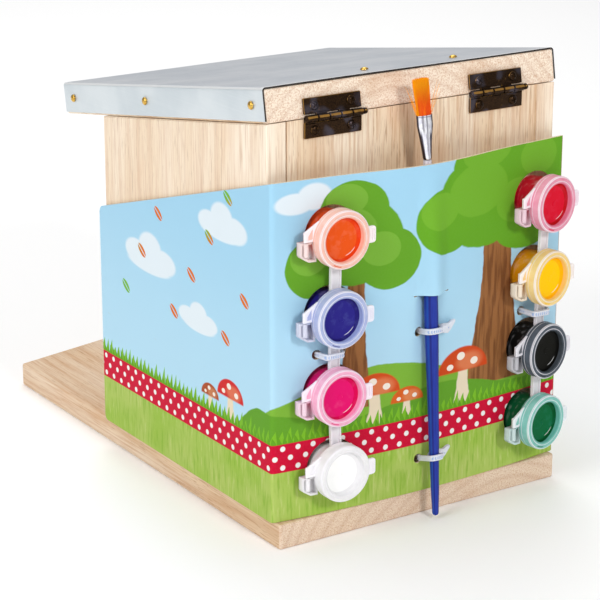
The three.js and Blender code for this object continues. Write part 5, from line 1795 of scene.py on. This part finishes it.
@dataclass(frozen=True)
class ButtHinge:
    """One butt hinge: two leaves, a pin and four crossed-slot screws."""

    side: str
    centre: float
    width: float = 25.0
    barrel: float = 1.35
    pin: float = 0.7
    proud: float = 1.8
    knuckles: int = 5
    leaf: float = 7.2
    thickness: float = 0.8
    gap: float = 0.3

    @property
    def low(self) -> float:
        """Where the hinge begins across the box."""
        return self.centre - self.width / 2

    @property
    def standoff(self) -> float:
        """How far the pin's axis stands from the wall."""
        return self.barrel + self.gap

    def edge_wear_and_glint(self, points: Array, normals: Array) -> Array:
        """Greater where a vertex stands on a rounded edge, because its normal lies off every axis.

        On the barrel the ends of the knuckles count, where the normal lies off the X axis and off its plane, and
        a painted highlight along it, where its normal faces up and back.

        Args:
            points: the hinge's vertices.
            normals: their directions.

        Returns:
            How worn it is there, with the painted highlight along the barrel, from 0 to 1.
        """
        flat = 1.0 - np.abs(normals).max(axis=1)
        end = 1.0 - np.maximum(np.abs(normals[:, 0]), np.hypot(normals[:, 1], normals[:, 2]))
        barrel = np.hypot(points[:, 1] - self.standoff, points[:, 2] - ROOF.seam) < 1.5
        # Painted highlight: a streak along the barrel where the normal faces up and back.
        streak = np.clip((normals @ np.array([0.0, 0.87, 0.49]) - 0.88) / 0.08, 0, 1) * 0.82
        return np.where(barrel, np.maximum(end * 1.6, streak), np.clip(flat / 0.12, 0, 1))

    def screw_glint(self, points: Array, normals: Array) -> Array:
        """A screw carries a painted glint on its rim and on the walls of its slot, where its normal turns sideways."""
        return np.clip(0.05 + 0.9 * (1.0 - np.abs(normals[:, 1])), 0, 0.62)

    def pin_axis(self, way: int) -> Point:
        """The pin's axis in the wall's frame, or in the roof's."""
        if way < 0:
            return self.standoff, ROOF.seam
        return self.standoff * math.cos(ROOF.pitch), -self.standoff * math.sin(ROOF.pitch)

    def leaf_shape(self, way: int) -> Shape:
        """A leaf with its knuckles.

        Args:
            way: 1 for the leaf on the roof, -1 for that on the wall.

        Returns:
            The leaf.
        """
        (y, z), low, high = self.pin_axis(way), self.low, self.low + self.width
        near = z + way * self.standoff
        far = near + way * (self.leaf - self.barrel)
        face = self.gap + self.thickness
        outline = rounded([(low, near, 0.3), (high, near, 0.3), (high, far, 0.4), (low, far, 0.4)])
        parts = [upright([outline], self.gap, face, 0.22)]
        pitch, foot, head = self.width / self.knuckles, *sorted((z, near + way * 0.6))
        for i in range(1 if way > 0 else 0, self.knuckles, 2):
            start, end = low + i * pitch + self.gap / 2, low + (i + 1) * pitch - self.gap / 2
            parts += [bar(self.barrel, start, end, 40, 0.18).by(TO_X).moved(0, y, z),
                      block((start, self.gap, foot), (end, face, head), 0.1)]
        return joined_shapes(parts)

    def screw_shape(self) -> Shape:
        """A domed screw with a crossed slot, its head along +Y."""
        shank = [(0.5, -6.5), (0.8, -5.5), (0.8, -0.05), (1.7, -0.05)]
        screw = lathe(shank + dome(1.8, 0.85, [0, 18, 36, 54, 72, 84]), 40)
        for x, z in ((1.15, 0.22), (0.22, 1.15)):
            screw = carved(screw, [block((-x, 0.3, -z), (x, 1.6, z), 0.04)])
        return screw

    def pin_shape(self) -> Shape:
        """The pin with its round head."""
        tip, end = self.low - self.proud, self.low + self.width
        head = [(0.3, 0.0), (0.75, 0.08), (1.05, 0.3), (1.18, 0.65), (1.18, 1.35), (1.1, 1.5), (self.pin, 1.55)]
        profile = [(r, tip + h) for r, h in head] + [(self.pin, end - 0.15), (0.5, end)]
        return lathe(profile, 32).by(TO_X).moved(0, *self.pin_axis(-1))

    def build(self, studio: Studio, worn: Material) -> None:
        """Places the hinge's leaves, screws and pin."""
        screw, side, slot, marks = self.screw_shape(), self.side, "antique_brass", {"wear_and_glint": self.edge_wear_and_glint}
        for way, part, body, matrix in ((1, "roof", "roof", ROOF.matrix()), (-1, "wall", "feeder", Matrix())):
            leaf = self.leaf_shape(way).by(matrix)
            studio.add(f"leaf_{side}_{part}", leaf, f"hinge_{side}_{part}_leaf", slot, worn, body=body, marks=marks)
            for i, x in enumerate((self.centre + 8.0, self.centre - 8.0), 1):
                seat = (x, self.gap + self.thickness + 0.1, self.pin_axis(way)[1] + way * 4.6)
                turned = screw.by(Matrix.Rotation(0.35 * i + 0.5 * way, 4, "Y")).moved(*seat).by(matrix)
                studio.add(f"screw_{side}_{part}_{i}", turned, f"hinge_{side}_{part}_screw_{i}", slot, worn, body=body,
                           marks={"wear_and_glint": self.screw_glint})
        studio.add(f"pin_{side}", self.pin_shape(), f"hinge_{side}_pin", slot, worn, marks=marks)


# ---- brush


def handle_radius(z: Reals) -> Reals:
    """The handle's radius, eased between its stations from the tip up.

    Args:
        z: heights along the brush, from its handle's tip.

    Returns:
        The radius at each height.
    """
    heights, radii = np.array(BRUSH.stations).T
    i = np.clip(np.searchsorted(heights, z, side="right") - 1, 0, len(heights) - 2)
    share = np.clip((z - heights[i]) / (heights[i + 1] - heights[i]), 0, 1)
    return radii[i] + (radii[i + 1] - radii[i]) * (share * share * (3 - 2 * share))


@dataclass
class Brush:
    """The paintbrush: handle, ferrule and bristles."""

    strands: int = 980
    strays: int = 15
    seed: int = 7
    hair: float = 0.085
    joints: int = 5
    sides: int = 3

    def halves(self, z: Array) -> tuple[Array, Array, Array]:
        """The ferrule's half width, half thickness and sideways shift at a height.

        Args:
            z: heights along the brush, from its handle's tip.

        Returns:
            Half the width, half the thickness and the shift.
        """
        share = np.clip((z - BRUSH.handle_top) / BRUSH.ferrule, 0, 1)
        opened = np.clip(share / (1 - BRUSH.flat / BRUSH.ferrule), 0, 1) ** 1.3
        tail = BRUSH.ferrule_tail
        wide, thick = (tail + (size / 2 - tail) * opened for size in (BRUSH.mouth_width, BRUSH.mouth_thickness))
        shift = BRUSH.tail_shift + (BRUSH.mouth_shift - BRUSH.tail_shift) * share
        return wide, thick, shift * np.clip((z - BRUSH.neck) / BRUSH.neck_ease, 0, 1)

    def handle(self) -> Shape:
        """The turned handle with its rounded tip."""
        tip, top = BRUSH.tip, BRUSH.handle_top
        z = np.linspace(tip + 0.7, top - 0.3, 90)
        profile = [(0.45, tip - 0.55), (0.9, tip - 0.35), (1.2, tip + 0.1), *zip(handle_radius(z), z),
                   (0.8, top - 0.25), (0.75, top + 3.0)]
        shape = lathe(profile, 40).by(TO_Z)
        shape.points[:, 0] += self.halves(shape.points[:, 2])[2]
        return shape

    def ferrule(self) -> Shape:
        """The metal sleeve, round at its tail and flat at its mouth, with shallow flutes near the mouth."""
        share = np.concatenate([np.linspace(0, 0.6, 20), np.linspace(0.6, 1, 34)[1:]])
        z = BRUSH.handle_top + share * BRUSH.ferrule
        inside = np.linspace(len(share) - 1, 0, 14).astype(int)
        ease = 0.25 * np.clip(1 - share * BRUSH.ferrule / 0.4, 0, 1) ** 2
        wide, thick, shift = self.halves(z)
        wide, thick = (np.concatenate([half - ease, half[inside] - BRUSH.ferrule_wall]) for half in (wide, thick))
        z, shift = (np.concatenate([line, line[inside]]) for line in (z, shift))
        turn = np.linspace(0, 2 * math.pi, 72, endpoint=False)
        flute = 0.1 * np.clip((z - BRUSH.ferrule_top + 5.5) / 2.0, 0, 1)[:, None] * np.cos(turn * 9.0) ** 2
        x, y = wide[:, None] * np.cos(turn) + shift[:, None], (thick[:, None] - flute) * np.sin(turn)
        return looped(np.stack([x, y, np.repeat(z[:, None], len(turn), 1)], -1))

    def local(self, points: Array) -> tuple[Array, Array, Array]:
        """Each point's place in the brush's own upright frame, with the ferrule's shift taken out."""
        x, y, z = carried(points, BRUSH.matrix(CARD.slit).inverted()).T
        return x - self.halves(z)[2], y, z

    def turn(self, points: Array, normals: Array) -> Array:
        """The angle round the brush in degrees, 0 at its +X side, 90 at its front and 180 at its -X side."""
        x, y, z = self.local(points)
        wide, thick, _ = self.halves(z)
        return np.degrees(np.arctan2(np.abs(y) / thick, x / wide))

    def mouth(self, points: Array, normals: Array) -> Array:
        """How far along the ferrule a point lies, 0 at its tail and 1 at its mouth."""
        return (self.local(points)[2] - BRUSH.handle_top) / BRUSH.ferrule

    def side(self, points: Array, normals: Array) -> Array:
        """How far across the tuft a point lies, from -1 to 1 and past it for stray hairs."""
        x, _, z = self.local(points)
        rise = np.clip((z - BRUSH.ferrule_top) / BRUSH.tuft, 0, 1)
        return (x - BRUSH.tip_shift * rise) / ((BRUSH.mouth_width / 2 - 0.3) * (1 + BRUSH.spread * rise))

    def tuft(self) -> Shape:
        """Hair strands on staggered feet, each a thin tapering spike that leans a little out."""
        rng = np.random.default_rng(self.seed)
        count, strays, sunk = self.strands, self.strays, 0.6
        n = np.arange(count)
        out, turn = np.sqrt((n + 0.5) / count), n * math.pi * (3 - math.sqrt(5))
        wide, thick = BRUSH.mouth_width / 2 - 0.42, BRUSH.mouth_thickness / 2 - 0.42
        root = np.stack([wide * out * np.cos(turn), thick * out * np.sin(turn)], -1)
        length = BRUSH.tuft * (1 - 0.02 * out**2 - 0.05 * rng.random(count))
        lean = root * BRUSH.spread + rng.normal(0, 0.12, root.shape) + np.array([BRUSH.tip_shift, 0.0])
        bend = rng.normal(0, 0.08, root.shape)
        stray = n[-strays:]
        way = np.where(np.arange(strays) % 3 == 2, -1.0, 1.0)
        root[stray, 0] = way * wide * (0.9 + 0.1 * rng.random(strays))
        root[stray, 1] *= 0.5
        lean[stray, 0] = way * (1.6 + 3.0 * rng.random(strays))
        bend[stray, 0] = way * rng.uniform(0.1, 0.9, strays)
        length[stray] *= rng.uniform(0.55, 0.9, strays)
        root[:, 0] += BRUSH.mouth_shift
        t = np.linspace(0, 1, self.joints + 1)[:, None]
        angle = np.linspace(0, 2 * math.pi, self.sides, endpoint=False)
        spoke = np.stack([np.cos(angle), np.sin(angle)], -1) * (self.hair * (1 - 0.75 * t**2))[..., None]
        centre = root[:, None] + lean[:, None] * t + bend[:, None] * (t * t)
        height = BRUSH.ferrule_top - sunk + (length[:, None] + sunk) * t.T
        flat = centre[:, :, None] + spoke
        rise = np.broadcast_to(height[..., None, None], (*flat.shape[:3], 1))
        size = len(t) * self.sides
        first = (n * size)[:, None, None]
        ends = np.array([np.arange(self.sides)[::-1], np.arange(size - self.sides, size)])
        walls = (quads(len(t), self.sides) + first).reshape(-1, 4)
        return Shape.of(np.concatenate([flat, rise], -1), walls, (ends + first).reshape(-1, self.sides))

    def core(self) -> Shape:
        """The solid foot of the tuft in the ferrule's mouth."""
        top = BRUSH.ferrule_top
        disc = lathe([(0.2, top - 1.2), (1.0, top - 1.2), (1.0, top - 0.3), (0.2, top - 0.3)], 32).by(TO_Z)
        wide, thick = BRUSH.mouth_width / 2 - 0.4, BRUSH.mouth_thickness / 2 - 0.4
        return disc.by(Matrix.Diagonal((wide, thick, 1, 1))).moved(BRUSH.mouth_shift)

    def build(self, studio: Studio) -> None:
        """Places the three parts of the brush."""
        matrix, turn = BRUSH.matrix(CARD.slit), {"turn": self.turn}
        studio.add("lacquered_handle", self.handle().by(matrix), "brush_handle", "handle_lacquer",
                   BlueLacquer().build(), marks=turn)
        studio.add("ferrule", self.ferrule().by(matrix), "brush_ferrule", "ferrule_metal", FerruleMetal().build(),
                   marks=turn | {"mouth": self.mouth}, sharp=60)
        hair = studio.add("hair_tuft", (self.core() + self.tuft()).by(matrix), "brush_bristles", "bristle",
                          BristleHair().build(), body=None, marks={"side": self.side}, sharp=80, clean=False)
        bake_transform(hair)


# ---- cable ties


@dataclass(frozen=True)
class CableTie:
    """A closed nylon band through two holes of the card, with its head."""

    name: str
    height: float
    low: float
    high: float
    front: float
    front_radius: float
    head_in_front: bool
    front_half: float | None = None
    droop: Point = (0.0, 0.0)
    radius: float = 1.2
    thick: float = 1.0
    wide: float = 2.2
    head_half: float = 2.3
    steps: int = 220

    @property
    def middle(self) -> float:
        """Where the band's middle lies across the box."""
        return (self.low + self.high) / 2

    def faces(self, places: Sequence[float]) -> list[float]:
        """Distances of the card's outer face at places across the box, over the height of a head."""
        rises = (-self.head_half, 0.0, self.head_half)
        return [card_face(x, self.height + rise) for x in places for rise in rises]

    @property
    def back(self) -> float:
        """Where the band runs behind the card."""
        return min(self.faces((self.low, self.middle, self.high))) - CARD.thickness - 0.85

    def holes(self) -> list[Point]:
        """The centres of its two holes in the card; a drooping band lies at the inner rim of its far hole."""
        level = self.height + self.droop[0]
        return [(self.low, level), (self.high + (0.9 if self.head_in_front else 0.0), level)]

    def sag(self, y: Array) -> Array:
        """How far the band lies off its level: one amount at the card and another at its front."""
        card = card_face(self.middle, self.height)
        share = np.clip((y - card) / (self.front - card), 0, 1)
        return self.droop[0] + (self.droop[1] - self.droop[0]) * share

    def band(self) -> Shape:
        """A rounded rectangle in plan, swept with a flat section whose outer face carries fine teeth."""
        half = self.front_half or (self.high - self.low) / 2
        rear = [(x, self.back, self.radius) for x in (self.low, self.high)]
        corners = rear + [(x, self.front, self.front_radius) for x in (self.middle + half, self.middle - half)]
        coarse = np.array(rounded(corners, 8))
        closed = np.vstack([coarse, coarse[:1]])
        run = np.concatenate([[0], np.cumsum(np.hypot(*np.diff(closed, axis=0).T))])
        s = np.linspace(0, run[-1], self.steps, endpoint=False)
        path = np.stack([np.interp(s, run, closed[:, k]) for k in (0, 1)], -1)
        ahead = np.roll(path, -1, 0) - np.roll(path, 1, 0)
        ahead /= np.linalg.norm(ahead, axis=1, keepdims=True)
        outward = np.stack([ahead[:, 1], -ahead[:, 0]], -1)
        tooth = 0.14 * (1 - np.mod(s / 0.75, 1.0))
        section = [(-0.5, -0.35), (-0.35, -0.5), (0.35, -0.5), (0.5, -0.35), (0.5, 0.35), (0.35, 0.5), (0.18, 0.5),
                   (0.14, 0.42), (-0.14, 0.42), (-0.18, 0.5), (-0.35, 0.5), (-0.5, 0.35)]
        rings = []
        for across, depth in section:
            lift = depth * self.thick - tooth * (depth == 0.42)
            spot = path + outward * np.reshape(lift, (-1, 1))
            rings.append(np.concatenate([spot, across * self.wide + self.sag(path[:, 1:])], 1))
        return looped(np.stack(rings, 1))

    def head(self) -> Shape:
        """The ratchet head with its release wing, or a plain block for a head behind the card."""
        if not self.head_in_front:
            low = (self.middle - 2.0, self.back - 3.1, -self.head_half)
            return block(low, (self.middle + 2.0, self.back + 0.5, self.head_half), 0.45)
        edge = self.low + 0.5
        near = max(self.faces((edge - 5.5, edge))) + 0.35
        wing = [(0.0, -0.9, 0.3), (0.0, 1.0, 0.3), (1.9, 1.9, 0.6), (4.7, 1.6, 1.0), (6.1, 2.5, 0.8), (7.5, 2.75, 0.3),
                (7.7, 1.9, 0.3), (5.6, -1.0, 1.5), (4.2, -2.3, 0.7), (2.3, -1.95, 0.7)]
        body = upright([rounded([(edge - x, z, r) for x, z, r in wing], 6)], near + 0.9, near + 2.3, 0.3)
        ratchet = block((edge - 3.6, near, -1.5), (edge - 0.1, near + 2.8, 1.35), 0.4)
        rib = block((edge - 5.0, near + 2.2, -0.25), (edge - 3.4, near + 2.5, 0.25), 0.1)
        return (body + ratchet + rib).moved(z=self.droop[0] * 0.4)

    def rib(self, points: Array, normals: Array) -> Array:
        """1 on the toothed middle of the band's outer face."""
        return (np.abs(points[:, 2] - self.height - self.sag(points[:, 1])) < 0.5) & (normals[:, 1] > 0.2)

    def build(self, studio: Studio, nylon: Material) -> None:
        """Places the tie."""
        shape = (self.band() + self.head()).moved(0, 0, self.height)
        studio.add(f"nylon_{self.name}", shape, self.name, "nylon", nylon, marks={"rib": self.rib}, sharp=50)


def cable_ties() -> list[CableTie]:
    """The four ties: two round the brush and one round each strip's middle link."""
    ties = []
    for name, z, droop in (("upper", 77.2, (-0.8, 0.3)), ("lower", 25.5, (-1.5, 1.0))):
        reach = float(handle_radius(z)) + 0.35 + CableTie.thick / 2
        x, y = BRUSH.middle(z, CARD.slit)
        ties.append(CableTie(f"brush_tie_{name}", z, x - reach, x + reach, y + reach, 0.94 * reach, True, droop=droop))
    for layout in LAYOUTS:
        _, (x, z), (next_x, next_z), _ = layout.spots()
        middle, reach = layout.matrix() @ Vector(((x + next_x) / 2, -0.5, (z + next_z) / 2)), 5.2
        front = middle.y + CableTie.head_half * math.sin(layout.turn) + 0.85
        low, high = middle.x - reach, middle.x + reach
        ties.append(CableTie(f"strip_tie_{layout.side}", middle.z, low, high, front, 2.1, False, front_half=3.7))
    return ties


# ---- woodwork


@dataclass(frozen=True)
class Woodwork:
    """The boards, the window and the screws under the base."""

    half: float = 66.0
    back: float = 8.0
    shoulder: float = -208.0
    point: float = -223.0
    thickness: float = 10.0
    corner: float = 1.5
    nose: float = 16.0
    screws: tuple[Point, ...] = ((61.75, -18.0), (61.75, -101.0), (-61.75, -18.0), (-61.75, -101.0))

    def base_board(self) -> Shape:
        """The long board with its blunt point and four screw wells."""
        half, r = self.half, self.corner
        outline = rounded([
            (half, self.back, r), (-half, self.back, r), (-half, self.shoulder, r), (0.0, self.point, self.nose),
            (half, self.shoulder, r),
        ], 8)
        well = lathe([(3.45, -2.0), (3.45, 0.4), (1.75, 2.7), (1.75, 12.0)], 32).by(TO_Z)
        return carved(plate([outline], 0.0, self.thickness, 0.8), [well.moved(x, y, 0) for x, y in self.screws])

    def build(self, studio: Studio) -> None:
        """Gives every board its wood, and places the base board."""
        edge = studio.back / MM
        base = Wood("wood_base", Grain.LENGTH, (-34.0, -62.0), 5.2, (edge + 7.0, edge + 7.7), "#B98A62", 0.26)
        studio.add("base_plank", self.base_board(), "base_board", "wood", base.build())
        boards = {
            "back_wall": Wood("wood_back", Grain.HEIGHT, (22.0, 160.0), 4.4),
            # The side walls' pale wash is painted light: it makes them brighter than the back wall.
            "side_wall_right": Wood("wood_right", Grain.HEIGHT, (130.0, 44.0), 4.8, tone_and_light_share=0.26),
            "side_wall_left": Wood("wood_left", Grain.HEIGHT, (-140.0, 20.0), 4.2, tone_and_light_share=0.26),
            "roof_board": Wood("wood_roof", Grain.LENGTH, (12.0, 98.0), 5.0, (edge - 3.4, edge - 2.9)),
        }
        for node, wood in boards.items():
            studio.paint_node(node, wood.build())
        studio.paint_node("window_pane", Acrylic().build())
        steel = BrightMetal("plated_steel", "#C9CBCE", "#9FA2A6", 0.28).build()
        for i in range(1, 5):
            studio.paint_node(f"base_screw_{i}", steel)


# ---- stage


@dataclass(frozen=True)
class Stage:
    """The floor, the lamps, the surrounding light and the camera, in metres."""

    floor: float = 3.0
    surround: float = 0.42
    aim: tuple[float, float, float] = (0.0, 0.05, 0.08)
    lens: float = 131.55
    eye: tuple[float, float, float] = (0.472, 0.6429, 0.3436)
    downward: float = 17.991
    heading: float = 146.824

    def lamp(self, name: str, place: Sequence[float], aim: Sequence[float], size: float, watts: float) -> None:
        """Adds one soft white lamp."""
        data = bpy.data.lights.new(name, "AREA")
        data.shape, data.size, data.energy = "SQUARE", size, watts
        thing = placed(name, data)
        thing.location = place
        thing.rotation_euler = (Vector(aim) - Vector(place)).to_track_quat("-Z", "Y").to_euler()

    def camera(self, studio: Studio) -> None:
        """Adds the camera, whose place is measured from the foot of the back wall's outer face."""
        data = bpy.data.cameras.new("camera")
        data.sensor_width, data.lens = 36.0, self.lens
        thing = placed("camera", data)
        thing.location = Vector(self.eye) + Vector((studio.middle, studio.back, 0.0))
        thing.rotation_euler = (math.radians(90 - self.downward), 0.0, math.radians(self.heading))
        bpy.context.scene.camera = thing

    def build(self, studio: Studio) -> None:
        """Sets the whole stage."""
        half = self.floor
        floor = bpy.data.meshes.new("floor")
        floor.from_pydata([(-half, -half, 0), (half, -half, 0), (half, half, 0), (-half, half, 0)], [], [(0, 1, 2, 3)])
        floor.materials.append(Graph("pale_floor").finish("#FFFFFF", 0.7))
        placed("floor", floor)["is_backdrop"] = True
        world = bpy.data.worlds.new("studio")
        world.use_nodes = True
        background = world.node_tree.nodes["Background"]
        background.inputs["Color"].default_value = (1, 1, 1, 1)
        background.inputs["Strength"].default_value = self.surround
        bpy.context.scene.world = world
        self.lamp("key", (1.35, 0.35, 0.9), self.aim, 0.8, 10.0)
        self.lamp("fill", (0.05, 1.4, 0.8), self.aim, 0.22, 7.8)
        self.lamp("top", (0.0, -0.3, 1.5), self.aim, 1.2, 6.0)
        self.lamp("backdrop", (-0.5, -0.95, 1.3), (-0.5, -0.95, 0.0), 0.9, 7.0)
        bpy.context.scene.view_settings.view_transform = "Standard"
        self.camera(studio)


def main() -> None:
    """Builds the dressed feeder."""
    logging.basicConfig(level=logging.INFO)
    studio = Studio()
    Woodwork().build(studio)
    Roof().build(studio)
    worn, plastic, nylon = WornBrass().build(), FrostedPots().build(), Nylon().build()
    for hinge in (ButtHinge("right", 37.884), ButtHinge("left", -36.696)):
        hinge.build(studio, worn)
    ties = cable_ties()
    holes = [hole for layout in LAYOUTS for hole in layout.holes()]
    Sleeve().build(studio, holes, [hole for tie in ties for hole in tie.holes()])
    for layout in LAYOUTS:
        PotStrip(layout, plastic).build(studio)
    Brush().build(studio)
    for tie in ties:
        tie.build(studio, nylon)
    Stage().build(studio)
    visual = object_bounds()
    {"cad": [list(v) for v in studio.box], "visual": [list(v) for v in visual]}
    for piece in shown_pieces():
        LOG.info("placed %s", piece.name)


if __name__ == "__main__":
    main()
